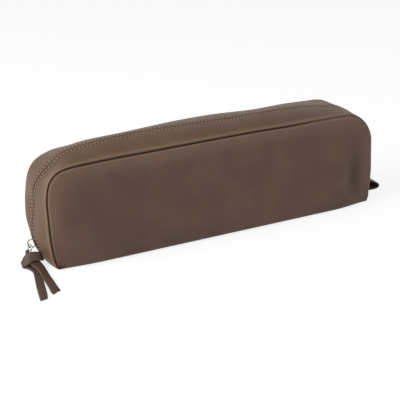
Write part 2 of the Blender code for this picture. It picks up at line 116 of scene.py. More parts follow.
def through(points, x):
    # a smooth run through (x, value) pairs, level before the first and after the last
    if x <= points[0][0]:
        return points[0][1]
    if x >= points[-1][0]:
        return points[-1][1]
    k = max(m for m in range(len(points) - 1) if points[m][0] <= x)
    slopes = []
    for m in (k, k + 1):
        if 0 < m < len(points) - 1:
            slopes.append((points[m + 1][1] - points[m - 1][1]) / (points[m + 1][0] - points[m - 1][0]))
        else:
            slopes.append(0.0)
    (x0, v0), (x1, v1) = points[k], points[k + 1]
    span = x1 - x0
    t = (x - x0) / span
    rise = t * t * (3 - 2 * t)
    return mix(v0, v1, rise) + span * t * (1 - t) * (slopes[0] * (1 - t) - slopes[1] * t)


def linkObject(name, data):
    item = bpy.data.objects.new(name, data)
    bpy.context.scene.collection.objects.link(item)
    return item


def finishPiece(name, build, material, sharpAngle=40):
    bmesh.ops.recalc_face_normals(build, faces=build.faces)
    mesh = bpy.data.meshes.new(name)
    build.to_mesh(mesh)
    build.free()
    mesh.shade_smooth()
    mesh.set_sharp_from_angle(angle=math.radians(sharpAngle))
    mesh.materials.append(material)
    return linkObject(name, mesh)


def skinRings(build, one, two, closed=True):
    count = len(one)
    for k in range(count if closed else count - 1):
        m = (k + 1) % count
        build.faces.new((one[k], one[m], two[m], two[k]))


def layUv(piece, coordinates):
    # coordinates holds one (u, v) in metres for each vertex
    layer = piece.data.uv_layers.new(name="weaveMap")
    for loop in piece.data.loops:
        layer.data[loop.index].uv = coordinates[loop.vertex_index]


def layShade(piece, name, values):
    attribute = piece.data.attributes.new(name, "FLOAT", "POINT")
    attribute.data.foreach_set("value", values)


def gridMap(grid):
    # distances along and across a grid, for cloth
    along = [0.0]
    middle = grid[len(grid) // 2]
    for one, two in zip(middle, middle[1:]):
        along.append(along[-1] + (Vector(two) - Vector(one)).length)
    across = [0.0]
    centre = len(grid[0]) // 2
    for one, two in zip(grid, grid[1:]):
        across.append(across[-1] + (Vector(two[centre]) - Vector(one[centre])).length)
    return [(along[k], across[m]) for m in range(len(grid)) for k in range(len(middle))]


# How the soft case has settled: it bellies out low down, its back sags and its feet are rounded
settleSizes = {
    "frontBelly": 0.0031,
    "rearBelly": 0.0016,
    "bellyFoot": 0.008,
    "bellyTop": 0.056,
    "bellyEnd": 0.028,  # length over which the belly dies out at each end
    "cornerBelly": 0.4,  # how much of the front's belly goes on to the end by the slider
    "leftEnd": -0.09,
    "endFull": 0.0019,  # the rear half of the left end stands out
    "endFullHeight": 0.028,
    "endFullHalf": 0.017,
    "endFullFrom": 0.003,
    "endFullRun": 0.009,
    "footRound": 0.0015,
    "rightFootRound": 0.0002,
    "footRoundHeight": 0.0065,
    "footRoundFrom": 0.092,
    "footRoundRun": 0.010,
    "cornerOut": 0.0014,  # the front seam's corner by the slider, each way
    "cornerX": -0.0985,
    "cornerZ": 0.0550,
    "cornerReach": 0.014,
    "cornerFrom": 0.008,
    "cornerRun": 0.011,
    "sagFoot": 0.035,
    "sagTop": 0.058,
    "sagFrom": -0.002,
    "sagRun": 0.022,
    "endDraw": 0.0011,  # the right end is drawn in
    "endDrawFrom": 0.080,
    "endDrawRun": 0.025,
    "zipShift": 0.0024,  # the zip lies a little to the front, above the slider's way
    "zipShiftFoot": 0.035,
    "zipShiftRun": 0.024,
    "lipsDrawn": 0.0003,  # and its lips lie in a shallow valley on the left end
    "lipsDrawnHeight": 0.026,
    "lipsDrawnHalf": 0.013,
    "lipsDrawnWidth": 0.007,
}
# (place along the case, height) of the sag of the back's upper edge
rearSag = [(-0.104, -0.0008), (-0.093, -0.0026), (-0.080, -0.0028), (-0.070, -0.0019), (-0.048, -0.0018),
           (-0.028, -0.0008), (-0.013, -0.0001), (0.012, 0.0), (0.038, -0.0011), (0.060, -0.0009),
           (0.083, -0.0013), (0.095, -0.0014), (0.106, -0.0012)]


def settled(point):
    x, y, z = point
    s = settleSizes
    # the sag of the back, only near the top
    high = grown(z, s["sagFoot"], s["sagTop"] - s["sagFoot"])
    newZ = z + through(rearSag, x) * high * grown(y, s["sagFrom"], s["sagRun"])
    # the belly, linear from the middle so that the layers keep their order
    belly = s["frontBelly"] if y < 0 else s["rearBelly"]
    ends = smoothStep((halfLength - abs(x)) / s["bellyEnd"])
    if x < 0 and y < 0:
        ends = mix(s["cornerBelly"], 1.0, ends)
    low = 1 - grown(z, s["bellyFoot"], s["bellyTop"] - s["bellyFoot"])
    newY = y * (1 + belly / halfDepth * ends * low)
    newY -= s["zipShift"] * hump(y, halfDepth) * grown(z, s["zipShiftFoot"], s["zipShiftRun"])
    newX = x - s["endDraw"] * grown(x, s["endDrawFrom"], s["endDrawRun"])
    if x < s["leftEnd"]:
        valley = hump(z - s["lipsDrawnHeight"], s["lipsDrawnHalf"])
        newX += s["lipsDrawn"] * valley * hump(y, s["lipsDrawnWidth"])
        full = hump(z - s["endFullHeight"], s["endFullHalf"])
        newX -= s["endFull"] * full * grown(y, s["endFullFrom"], s["endFullRun"])
    foot = max(0.0, 1 - z / s["footRoundHeight"]) ** 2 * grown(abs(x), s["footRoundFrom"], s["footRoundRun"])
    newX -= math.copysign((s["footRound"] if x < 0 else s["rightFootRound"]) * foot, x)
    away = math.hypot(x - s["cornerX"], z - s["cornerZ"])
    out = s["cornerOut"] * hump(away, s["cornerReach"]) * grown(-y, s["cornerFrom"], s["cornerRun"])
    return (newX - out, newY, newZ + out)


def gridSolid(name, outer, inner, material, sharpAngle=40):
    # a closed sheet between two facing grids of points
    outer, inner = [[[settled(p) for p in row] for row in grid] for grid in (outer, inner)]
    build = bmesh.new()
    near, far = [[[build.verts.new(p) for p in row] for row in grid] for grid in (outer, inner)]
    for sheet in (near, far):
        for one, two in zip(sheet, sheet[1:]):
            skinRings(build, one, two, closed=False)
    rims = []
    for sheet in (near, far):
        sides = [row[-1] for row in sheet[1:-1]]
        others = [row[0] for row in sheet[1:-1]]
        rims.append(sheet[0] + sides + sheet[-1][::-1] + others[::-1])
    skinRings(build, rims[0], rims[1])
    piece = finishPiece(name, build, material, sharpAngle)
    layUv(piece, gridMap(outer) + gridMap(inner))
    return piece


def loopSolid(name, outer, inner, material, sharpAngle=40):
    # a dished sheet from loops that run from its edge to its middle
    outer, inner = [[[settled(p) for p in loop] for loop in loops] for loops in (outer, inner)]
    build = bmesh.new()
    sheets = [[[build.verts.new(p) for p in loop] for loop in loops] for loops in (outer, inner)]
    for sheet in sheets:
        for one, two in zip(sheet, sheet[1:]):
            skinRings(build, one, two)
        build.faces.new(sheet[-1])
    skinRings(build, sheets[0][0], sheets[1][0])
    piece = finishPiece(name, build, material, sharpAngle)
    layUv(piece, [(p[0], p[2]) for loops in (outer, inner) for loop in loops for p in loop])
    return piece


def tubeSolid(name, rings, material, closed=False, sharpAngle=40):
    build = bmesh.new()
    rings = [[build.verts.new(p) for p in ring] for ring in rings]
    for one, two in zip(rings, rings[1:]):
        skinRings(build, one, two)
    if closed:
        skinRings(build, rings[-1], rings[0])
    else:
        build.faces.new(rings[0])
        build.faces.new(rings[-1])
    return finishPiece(name, build, material, sharpAngle)


def joinPieces(name, pieces):
    build = bmesh.new()
    for piece in pieces:
        build.from_mesh(piece.data)
    mesh = bpy.data.meshes.new(name)
    build.to_mesh(mesh)
    build.free()
    mesh.materials.append(pieces[0].data.materials[0])
    for piece in pieces:
        bpy.data.objects.remove(piece, do_unlink=True)
    return linkObject(name, mesh)


def catmull(points, steps, closed=False):
    # a smooth line through points
    count = len(points)
    line = []
    for k in range(count if closed else count - 1):
        if closed:
            p = [points[(k + m) % count] for m in (-1, 0, 1, 2)]
        else:
            p = [points[min(max(k + m, 0), count - 1)] for m in (-1, 0, 1, 2)]
        for s in range(steps):
            t = s / steps
            line.append(0.5 * (2 * p[1] + (p[2] - p[0]) * t + (2 * p[0] - 5 * p[1] + 4 * p[2] - p[3]) * t * t
                               + (3 * p[1] - p[0] - 3 * p[2] + p[3]) * t * t * t))
    if not closed:
        line.append(points[-1])
    return line


# Materials

def linearOf(hexColour):
    # a screen colour as linear light
    channels = [int(hexColour[k:k + 2], 16) / 255 for k in (1, 3, 5)]
    return (*[c / 12.92 if c <= 0.04045 else ((c + 0.055) / 1.055) ** 2.4 for c in channels], 1.0)


def fillInputs(tree, node, inputs):
    # a value is a number, a colour or another node's output
    for name, value in inputs.items():
        if isinstance(value, bpy.types.NodeSocket):
            tree.links.new(value, node.inputs[name])
        else:
            node.inputs[name].default_value = value


def addNode(tree, kind, inputs=None, **properties):
    node = tree.nodes.new(kind)
    for name, value in properties.items():
        setattr(node, name, value)
    fillInputs(tree, node, inputs or {})
    return node


def addOutput(tree, kind, inputs=None, **properties):
    return addNode(tree, kind, inputs, **properties).outputs[0]


def addMath(tree, operation, *values, **properties):
    return addOutput(tree, "ShaderNodeMath", dict(enumerate(values)), operation=operation, **properties)


def addMix(tree, share, one, two):
    return addNode(tree, "ShaderNodeMix", {0: share, 6: one, 7: two}, data_type="RGBA").outputs[2]


def addRange(tree, value, fromLow, fromHigh, toLow, toHigh):
    numbers = (value, fromLow, fromHigh, toLow, toHigh)
    return addOutput(tree, "ShaderNodeMapRange", dict(enumerate(numbers)))


def addBump(tree, height, strength, depth):
    return addOutput(tree, "ShaderNodeBump", {"Height": height, "Strength": strength, "Distance": depth})


def shadeOf(tree, name):
    return addNode(tree, "ShaderNodeAttribute", attribute_name=name).outputs["Fac"]


def newMaterial(name):
    material = bpy.data.materials.new(name)
    material.use_nodes = True
    return material, material.node_tree, material.node_tree.nodes["Principled BSDF"]


leatherLook = {
    "hide": "#684E42",  # the dye where the light is plain
    "deep": "#5B433A",  # in the pores and the darker clouds
    "paintedShade": "#26140C",  # painted shade in the seams, the slit and a dent, and on hidden sides
    "edge": "#8A7059",  # lighter where it is rubbed, and painted highlight on rolled edges, ridges and lit bands
    "cloudMm": 22,
    "grainMm": 0.75,
    "poreMm": 0.28,
    "grainDepthMm": 0.07,
    "poreShare": 0.35,  # of the grain's height
    "roughness": 0.50,
    "seamDulling": 0.45,  # added to the roughness in a seam
}


def leatherMaterial(name, look):
    # Vegetable-tanned calf, smooth and waxed: semi-matt, with a fine pebbled grain and soft clouds of dye,
    # painted shade where it turns into a seam, and a lighter colour for wear and painted highlight
    material, tree, shader = newMaterial(name)
    hide, deep, paintedShadeColour, edge = (linearOf(look[key]) for key in ("hide", "deep", "paintedShade", "edge"))
    place = addNode(tree, "ShaderNodeTexCoord").outputs["Object"]
    clouds = addNode(tree, "ShaderNodeTexNoise", {"Vector": place, "Scale": 1000 / look["cloudMm"],
                                                  "Detail": 4.0, "Roughness": 0.55}).outputs["Fac"]
    cells = addNode(tree, "ShaderNodeTexVoronoi", {"Vector": place, "Scale": 1000 / look["grainMm"],
                                                   "Smoothness": 0.7, "Randomness": 1.0},
                    feature="SMOOTH_F1").outputs["Distance"]
    pores = addNode(tree, "ShaderNodeTexNoise", {"Vector": place, "Scale": 1000 / look["poreMm"],
                                                 "Detail": 3.0}).outputs["Fac"]
    dye = addMix(tree, addRange(tree, clouds, 0.36, 0.64, 0.0, 1.0), deep, hide)
    grained = addMix(tree, addRange(tree, cells, 0.25, 0.75, 0.28, 0.0), dye, deep)
    # a lighter colour: wear on cut edges, and painted highlight on rolled edges, ridges and lit bands
    wearAndSheen = addMix(tree, shadeOf(tree, "wearAndSheen"), grained, edge)
    # painted shade: seams, the slit, a dent and hidden sides
    paintedShade = shadeOf(tree, "paintedShade")
    gloss = addRange(tree, pores, 0.3, 0.7, look["roughness"] - 0.05, look["roughness"] + 0.09)
    height = addMath(tree, "MULTIPLY_ADD", pores, look["poreShare"], cells)
    fillInputs(tree, shader, {
        "Base Color": addMix(tree, paintedShade, wearAndSheen, paintedShadeColour),
        "Roughness": addMath(tree, "MULTIPLY_ADD", paintedShade, look["seamDulling"], gloss, use_clamp=True),
        "Normal": addBump(tree, height, 0.5, look["grainDepthMm"] / 1000),
        "IOR": 1.45,
        "Specular IOR Level": 0.4,
    })
    return material


warmLitGussetLook = dict(leatherLook, hide="#634934", deep="#563E2D")  # painted light: the same leather, yellower for the warm light on the gusset and darker to offset the top lamp
strapLook = dict(leatherLook, hide="#584337", deep="#46332A", grainMm=0.9, roughness=0.55)
calf = leatherMaterial("Waxed vegetable-tanned calf leather", leatherLook)
warmLitGussetCalf = leatherMaterial("Waxed calf leather of the gusset with painted warm light", warmLitGussetLook)
thong = leatherMaterial("Cut calf leather thong", strapLook)


def clothMaterial(name, warpHex, weftHex, threadMm, roughness, twill):
    # Woven cloth: matt, each thread a low ridge, the two directions a shade apart
    material, tree, shader = newMaterial(name)
    place = addOutput(tree, "ShaderNodeUVMap", uv_map="weaveMap")
    turned = addOutput(tree, "ShaderNodeMapping",
                       {"Vector": place, "Rotation": (0.0, 0.0, math.radians(twill))})
    # a wave repeats after pi / 10 units at scale 1, and here after two threads
    threads = 1000 / threadMm / 20 * math.pi
    warp, weft = (addNode(tree, "ShaderNodeTexWave", {"Vector": turned, "Scale": threads},
                          bands_direction=direction).outputs["Fac"] for direction in "XY")
    weave = addMath(tree, "MAXIMUM", warp, weft)
    fillInputs(tree, shader, {"Base Color": addMix(tree, weave, linearOf(weftHex), linearOf(warpHex)),
                              "Roughness": roughness, "Normal": addBump(tree, weave, 0.6, 0.0001)})
    return material


# Cotton twill: dull and soft, with its diagonal rib
cottonTwill = clothMaterial("Cotton twill lining", "#6E5D50", "#57483D", threadMm=0.45, roughness=0.9,
                            twill=45)
# Polyester tape: tight and slightly smoother
tapeCloth = clothMaterial("Woven polyester zip tape", "#3A2C25", "#2A1F1A", threadMm=0.35, roughness=0.8,
                          twill=0)


def speckledMaterial(name, lightHex, darkHex, speckMm, roughness, depthMm, metallic=0.0):
    # One finish with a fine, even speckle of colour, gloss and height
    material, tree, shader = newMaterial(name)
    place = addNode(tree, "ShaderNodeTexCoord").outputs["Object"]
    specks = addNode(tree, "ShaderNodeTexNoise",
                     {"Vector": place, "Scale": 1000 / speckMm, "Detail": 5.0}).outputs["Fac"]
    spread = addRange(tree, specks, 0.35, 0.65, 0.0, 1.0)
    fillInputs(tree, shader, {
        "Base Color": addMix(tree, spread, linearOf(darkHex), linearOf(lightHex)),
        "Roughness": addRange(tree, spread, 0.0, 1.0, roughness * 1.25, roughness * 0.8),
        "Normal": addBump(tree, specks, 0.4, depthMm / 1000),
        "Metallic": metallic,
    })
    return material


# Bonded leather board: matt, with flecks of fibre
fibreBoard = speckledMaterial("Bonded leather board", "#9A7F68", "#7A624F", speckMm=0.8, roughness=0.85,
                              depthMm=0.05)
# Nylon monofilament: smooth and slightly glossy
nylon = speckledMaterial("Nylon zip coil", "#35281F", "#241A15", speckMm=0.6, roughness=0.38, depthMm=0.01)
# Waxed linen thread: matt, with a twist too fine to show
linen = speckledMaterial("Waxed linen thread", "#A8937D", "#86725F", speckMm=0.3, roughness=0.7, depthMm=0.03)
# Nickel-plated zinc casting: bright, with a faint satin from tumbling
nickel = speckledMaterial("Nickel-plated zinc", "#D9D6CF", "#BDB9B1", speckMm=1.2, roughness=0.24,
                          depthMm=0.004, metallic=1.0)
# Awl holes are only shadow
holeDark = speckledMaterial("Shadow in a needle hole", "#2A1C14", "#1C120C", speckMm=0.3, roughness=0.95,
                            depthMm=0.01)
print("Materials made")


# Outline of the seams, as seen from the front

def seamHalfWidth(z):
    tuck = max(0.0, 1 - z / caseSizes["endTuckHeight"])
    return halfLength - caseSizes["endTuck"] * tuck ** 2


# The soft top isn't straight: small rises and sags of the seam and of the crest over it
seamWave = [(-0.092, 0.0), (-0.070, 0.0005), (-0.040, 0.0006), (0.0, 0.0007), (0.023, 0.0006),
            (0.047, 0.0001), (0.067, 0.0002), (0.088, 0.0)]
# How far the middle of the gusset stands out over the seams, from one shoulder over the top to the other
topBulge = [(-0.1050, 0.0016), (-0.1035, 0.0010), (-0.0990, 0.0002), (-0.0940, 0.0008), (-0.0880, 0.0026),
            (-0.0800, 0.0037), (-0.0700, 0.0045), (-0.0480, 0.0054), (-0.0280, 0.0053), (-0.0030, 0.0046),
            (0.0190, 0.0041), (0.0390, 0.0042), (0.0600, 0.0038), (0.0720, 0.0025), (0.0830, 0.0010),
            (0.0900, 0.0003), (0.0990, 0.0002), (0.1035, 0.0010), (0.1050, 0.0016)]


def archStations(foot):
    # (x, z, outward x, outward z, share of the corner) from the left foot over the top to the right foot
    left = []
    sideSteps, cornerSteps, topSteps = (caseSizes[key] for key in ("sideSteps", "cornerSteps", "topSteps"))
    radius = caseSizes["cornerRadius"]
    for k in range(sideSteps):
        z = mix(foot, shoulder, k / sideSteps)
        left.append((-seamHalfWidth(z), z, -1.0, 0.0, 0.0))
    for k in range(cornerSteps + 1):
        turn = math.pi / 2 * k / cornerSteps
        left.append((-halfLength + radius * (1 - math.cos(turn)), shoulder + radius * math.sin(turn),
                     -math.cos(turn), math.sin(turn), k / cornerSteps))
    for k in range(1, topSteps + 1):
        x = -(halfLength - radius) * (1 - k / topSteps)
        left.append((x, caseSizes["height"], 0.0, 1.0, 1.0))
    whole = left + [(-x, z, -nx, nz, turned) for x, z, nx, nz, turned in reversed(left[:-1])]
    return [(x, z + through(seamWave, x) * smoothStep(turned * 2 - 1), nx, nz, turned)
            for x, z, nx, nz, turned in whole]


# Gusset: the long strip round the ends and the top, in two halves whose lips hide the zip
gussetSizes = {
    "ridge": 0.0009,
    "roll": 0.0013,
    "liningInset": 0.0021,
    "bulgeFoot": 0.0035,
    "bulgeLow": 0.0048,
    "bulgeLowHeight": 0.016,
    "bulgeShoulder": 0.0016,
    "slit": 0.0011,  # on the slider's side of the case
    "slitTop": 0.0004,
    "lensWidth": 0.0082,
    "lensBottom": 0.0034,
    "lensTop": 0.0160,
    "lensClose": 0.33,
    "patchWidth": 0.0080,
    "slitCloseFrom": 0.45,  # the slit narrows over this share of the corner
    "slitCloseRun": 0.4,
    "lipThinned": 0.0001,  # most that the turned-in lip's inner side moves with its outer side
    "seamReach": 0.0015,  # how far from the seam its shade changes along the case
}


def gussetBulge(x, z, turned):
    g = gussetSizes
    if turned > 0:
        return through(topBulge, x)
    if z < g["bulgeLowHeight"]:
        return mix(g["bulgeFoot"], g["bulgeLow"], smoothStep(z / g["bulgeLowHeight"]))
    share = (z - g["bulgeLowHeight"]) / (shoulder - g["bulgeLowHeight"])
    return mix(g["bulgeLow"], g["bulgeShoulder"], smoothStep(share))


def gussetRise(inward, bulge):
    dome = bulge * (1 - (1 - inward / halfDepth) ** 2)
    roll = gussetSizes["ridge"] * (1 - max(0.0, 1 - inward / gussetSizes["roll"]) ** 2)
    return dome + roll


def gussetPoint(side, station, inward, depth):
    x, z, nx, nz, turned = station
    rise = gussetRise(inward, gussetBulge(x, z, turned)) - depth
    return (x + nx * rise, side * (halfDepth - inward), z + nz * rise)


def lipInward(station):
    x, z, _, _, turned = station
    g = gussetSizes
    if x > 0 or turned > 0:
        closed = grown(turned, g["slitCloseFrom"], g["slitCloseRun"]) if x < 0 else 1.0
        return halfDepth - mix(g["slit"], g["slitTop"], closed) / 2
    if z > g["lensTop"]:
        return halfDepth - g["slit"] / 2
    if z < g["lensBottom"]:
        return halfDepth - g["patchWidth"] / 2 - gap
    share = (g["lensTop"] - z) / (g["lensTop"] - g["lensBottom"]) / g["lensClose"]
    return halfDepth - g["slit"] / 2 - (g["lensWidth"] - g["slit"]) / 2 * smoothStep(share)


def gussetFoot(inward):
    room = foldRadius - leather - gap
    aside = max(0.0, foldRadius - faceProud - inward)
    return foldRadius - math.sqrt(max(0.0, room ** 2 - aside ** 2))


# Across the strip: (fixed distance from the seam, share of the way to the lip, distance back from the lip,
# depth, painted shade in the seam and the slit, lighter colour of wear and painted highlight on the ridge and
# the lip). The edge dives into the seam, and the lip is turned in with a soft roll.
gussetColumns = [
    (0.00004, 0, 0, 0.0014, 1.0, 0.0), (0.00014, 0, 0, 0.00135, 1.0, 0.0), (0.00017, 0, 0, 0.0008, 1.0, 0.0),
    (0.00018, 0, 0, 0.0003, 1.0, 0.0), (0.00024, 0, 0, 0.00008, 0.8, 0.0), (0.00036, 0, 0, 0.0, 0.3, 0.05),
    (0.0006, 0, 0, 0.0, 0.04, 0.3), (0.0009, 0, 0, 0.0, 0.0, 0.6), (0.0013, 0, 0, 0.0, 0.0, 0.5),
    (0.0019, 0, 0, 0.0, 0.0, 0.25), (0.0028, 0, 0, 0.0, 0.0, 0.08),
    (0, 0.24, 0, 0.0, 0.0, 0.0), (0, 0.34, 0, 0.0, 0.0, 0.0), (0, 0.45, 0, 0.0, 0.0, 0.0),
    (0, 0.56, 0, 0.0, 0.0, 0.0), (0, 0.67, 0, 0.0, 0.0, 0.0), (0, 0.75, 0, 0.0, 0.0, 0.0),
    (0, 1, 0.0042, 0.0, 0.0, 0.0), (0, 1, 0.0034, 0.00003, 0.0, 0.0), (0, 1, 0.0028, 0.00014, 0.1, 0.0),
    (0, 1, 0.0024, 0.00014, 0.1, 0.0), (0, 1, 0.0020, 0.00002, 0.0, 0.1), (0, 1, 0.0016, -0.00008, 0.0, 0.2),
    (0, 1, 0.0012, -0.00012, 0.0, 0.25), (0, 1, 0.0009, -0.0001, 0.0, 0.25), (0, 1, 0.0006, 0.0, 0.0, 0.2),
    (0, 1, 0.00038, 0.00016, 0.1, 0.1), (0, 1, 0.0002, 0.0004, 0.5, 0.0), (0, 1, 0.00005, 0.0007, 0.9, 0.0),
    (0, 1, 0.0, 0.0010, 1.0, 0.0),
]


# The seam round a face closes up, and loses its shade, along the right end and at the upper right
seamFade = {
    "middleRun": 0.010,
    "rightStrength": 0.25,
    "topLoss": 0.85,
    "topFrom": 0.040,
    "topRun": 0.040,
    "shoulderFrom": 0.050,
    "shoulderRun": 0.008,
}


def seamStrength(point):
    x, _, z = point
    f = seamFade
    top = 1 - f["topLoss"] * grown(x, f["topFrom"], f["topRun"])
    right = mix(f["rightStrength"], top, grown(z, f["shoulderFrom"], f["shoulderRun"]))
    return mix(1.0, right, grown(x, 0.0, f["middleRun"]))


def columnInward(column, station):
    fixed, share, back = column[:3]
    return fixed + share * lipInward(station) - back


def columnFoot(column):
    fixed, share, back = column[:3]
    return gussetFoot(fixed + share * (halfDepth - gussetSizes["lensWidth"] / 2) - back)


def gussetHalf(name, side):
    outer, inner, paintedShade, wearAndSheen = [], [], [], []
    for column in gussetColumns:
        _, lipShare, _, depth, seamShade, wearAndSheenShade = column
        stations = archStations(columnFoot(column))
        under = leather + (min(max(depth, 0.0), gussetSizes["lipThinned"]) if lipShare == 1 else depth)
        for grid, level in ((outer, depth), (inner, under)):
            grid.append([gussetPoint(side, s, columnInward(column, s), level) for s in stations])
        paintedShade += [seamShade] * len(stations)
        wearAndSheen += [wearAndSheenShade] * len(stations)
    piece = gridSolid(name, outer, inner, warmLitGussetCalf)
    # the painted seam shade fades where the seam closes up, and the inner side gets painted shade
    for k, vertex in enumerate(piece.data.vertices[:len(paintedShade)]):
        if halfDepth - abs(vertex.co.y) < gussetSizes["seamReach"]:
            paintedShade[k] *= seamStrength(vertex.co)
    layShade(piece, "paintedShade", paintedShade + [caseSizes["hiddenShade"]] * len(paintedShade))
    layShade(piece, "wearAndSheen", wearAndSheen + [0.0] * len(wearAndSheen))
    return piece


# Zip: tapes, coils and stops
zipSizes = {
    "tape": 0.0004,
    "tapeWidth": 0.0105,
    "coilRadius": 0.00075,
    "coilDepth": 0.0036,
    "coilSpread": 0.0021,
    "spreadShare": 0.62,
    "stopLength": 0.0012,
    "turnPitch": 0.0013,  # of the coil's turns
    "wireRadius": 0.00022,
    "stepsPerTurn": 10,
}
sliderSizes = {
    "height": 0.0105,
    "travel": 0.025,
    "length": 0.0084,
    "width": 0.0076,
    "plate": 0.0007,
    "postWidth": 0.0012,
    "crownThickness": 0.0008,
    "crownLength": 0.0056,
    "crownBar": 0.0008,
    "crownBend": 0.0009,
    "overlap": 0.0001,  # of the post and the walls with the plates
    "plateRound": 0.0002,
    "wallRound": 0.0001,
    "postRound": 0.00005,
}
bailSizes = {
    "rise": 0.0026,
    "wire": 0.0010,
    "length": 0.0046,
    "innerWidth": 0.0040,
    "lean": 25,
    "bendShare": 0.9,  # a corner's radius to the wire
    "cornerSteps": 8,
    "sectionPoints": 16,
}
# How far from the zip's middle its tapes start to dip to the coils, clear of the slider
tapeDip = sliderSizes["width"] / 2 + gap
coilReach = 2 * zipSizes["coilRadius"]


def coilOffset(station):
    x, z, _, _, turned = station
    closed = zipSizes["coilRadius"] + gap / 2
    if x > 0 or turned > 0:
        return closed
    top = sliderSizes["height"] + sliderSizes["length"] / 2
    share = (top - z) / sliderSizes["length"] / zipSizes["spreadShare"]
    return mix(closed, zipSizes["coilSpread"], smoothStep(share))


def zipTape(name, side):
    halfTape, width = zipSizes["tape"] / 2, zipSizes["tapeWidth"]
    contact, deep = leather + gap + halfTape, zipSizes["coilDepth"]
    steps = 6
    grids = []
    for half in (-halfTape, halfTape):
        grid = []
        for station in archStations(caseSizes["zipFoot"]):
            coil = coilOffset(station)
            row = [(width, contact), (mix(width, tapeDip + coilReach, 0.5), contact)]
            row += [(tapeDip + coilReach * (1 - k / steps), mix(contact, deep, smoothStep(k / steps)))
                    for k in range(steps + 1)]
            row += [(coil + zipSizes["coilRadius"] + gap, deep), (coil - zipSizes["coilRadius"], deep)]
            grid.append([gussetPoint(side, station, halfDepth - away, depth + half) for away, depth in row])
        grids.append(grid)
    return gridSolid(name, grids[0], grids[1], tapeCloth)


def gussetLining(name, side):
    stations = archStations(liningDepth + caseSizes["lining"] + gap)
    first, last = gussetSizes["liningInset"], halfDepth - tapeDip - coilReach - gap
    depth = leather + gap + zipSizes["tape"] + gap
    steps = 12
    places = [mix(first, last, k / steps) for k in range(steps + 1)]
    grids = [[[gussetPoint(side, s, inward, level) for s in stations] for inward in places]
             for level in (depth, depth + caseSizes["lining"])]
    return gridSolid(name, grids[0], grids[1], cottonTwill)


def pathAlong(name, side, foot, inwardOf, depth):
    # a path for Geometry Nodes: a chain of edges with its lift off the surface and its side direction
    stations = archStations(foot)
    points = [settled(gussetPoint(side, s, inwardOf(s), depth)) for s in stations]
    mesh = bpy.data.meshes.new(name)
    mesh.from_pydata(points, [(k, k + 1) for k in range(len(points) - 1)], [])
    lifts = [(s[2], 0.0, s[3]) for s in stations]
    for word, vectors in (("lift", lifts), ("sideways", [(0.0, 1.0, 0.0)] * len(points))):
        attribute = mesh.attributes.new(word, "FLOAT_VECTOR", "POINT")
        attribute.data.foreach_set("vector", [c for v in vectors for c in v])
    return linkObject(name, mesh)


def newTree(name, numbers):
    # a tree that takes a path, these numbers and a material
    tree = bpy.data.node_groups.new(name, "GeometryNodeTree")
    for label, value in {"Geometry": None, **numbers, "Material": None}.items():
        kind = {float: "Float", int: "Int"}.get(type(value), label)
        socket = tree.interface.new_socket(label, in_out="INPUT", socket_type="NodeSocket" + kind)
        if value is not None:
            socket.default_value = value
    tree.interface.new_socket("Geometry", in_out="OUTPUT", socket_type="NodeSocketGeometry")
    return tree, addNode(tree, "NodeGroupInput").outputs


def pathVector(tree, name):
    return addOutput(tree, "GeometryNodeInputNamedAttribute", {"Name": name}, data_type="FLOAT_VECTOR")


def finishTree(tree, shape, material):
    # the shape as one smooth mesh in its material
    real = addOutput(tree, "GeometryNodeRealizeInstances", {"Geometry": shape})
    smooth = addOutput(tree, "GeometryNodeSetShadeSmooth", {"Geometry": real})
    dressed = addOutput(tree, "GeometryNodeSetMaterial", {"Geometry": smooth, "Material": material})
    tree.links.new(dressed, addNode(tree, "NodeGroupOutput").inputs[0])
    return tree


def runTree(path, tree, values, name):
    # sets the inputs by identifier, turns the result into a plain mesh and drops the path
    modifier = path.modifiers.new(tree.name, "NODES")
    modifier.node_group = tree
    identifiers = {item.name: item.identifier for item in tree.interface.items_tree
                   if item.item_type == "SOCKET" and item.in_out == "INPUT"}
    for label, value in values.items():
        modifier[identifiers[label]] = value
    path.update_tag()
    bpy.context.view_layer.update()
    shown = path.evaluated_get(bpy.context.evaluated_depsgraph_get())
    mesh = bpy.data.meshes.new_from_object(shown)
    mesh.name = name
    bpy.data.objects.remove(path, do_unlink=True)
    return linkObject(name, mesh)


def buildCoilTree():
    # a helix of monofilament along the path
    tree, given = newTree("Zip coil", {"Turn pitch": 0.0013, "Radius": 0.0005, "Wire radius": 0.0002,
                                       "Steps per turn": 10})
    curve = addOutput(tree, "GeometryNodeMeshToCurve", {"Mesh": given["Geometry"]})
    stepLength = addMath(tree, "DIVIDE", given["Turn pitch"], given["Steps per turn"])
    dense = addOutput(tree, "GeometryNodeResampleCurve", {"Curve": curve, "Length": stepLength},
                      mode="LENGTH")
    turns = addMath(tree, "DIVIDE", addOutput(tree, "GeometryNodeInputIndex"), given["Steps per turn"])
    angle = addMath(tree, "MULTIPLY", turns, 2 * math.pi)
    moves = []
    for word, operation in (("lift", "SINE"), ("sideways", "COSINE")):
        reach = addMath(tree, "MULTIPLY", addMath(tree, operation, angle), given["Radius"])
        moves.append(addOutput(tree, "ShaderNodeVectorMath", {0: pathVector(tree, word), "Scale": reach},
                               operation="SCALE"))
    offset = addOutput(tree, "ShaderNodeVectorMath", dict(enumerate(moves)), operation="ADD")
    wound = addOutput(tree, "GeometryNodeSetPosition", {"Geometry": dense, "Offset": offset})
    profile = addOutput(tree, "GeometryNodeCurvePrimitiveCircle",
                        {"Resolution": 5, "Radius": given["Wire radius"]})
    wire = addOutput(tree, "GeometryNodeCurveToMesh",
                     {"Curve": wound, "Profile Curve": profile, "Fill Caps": True})
    return finishTree(tree, wire, given["Material"])


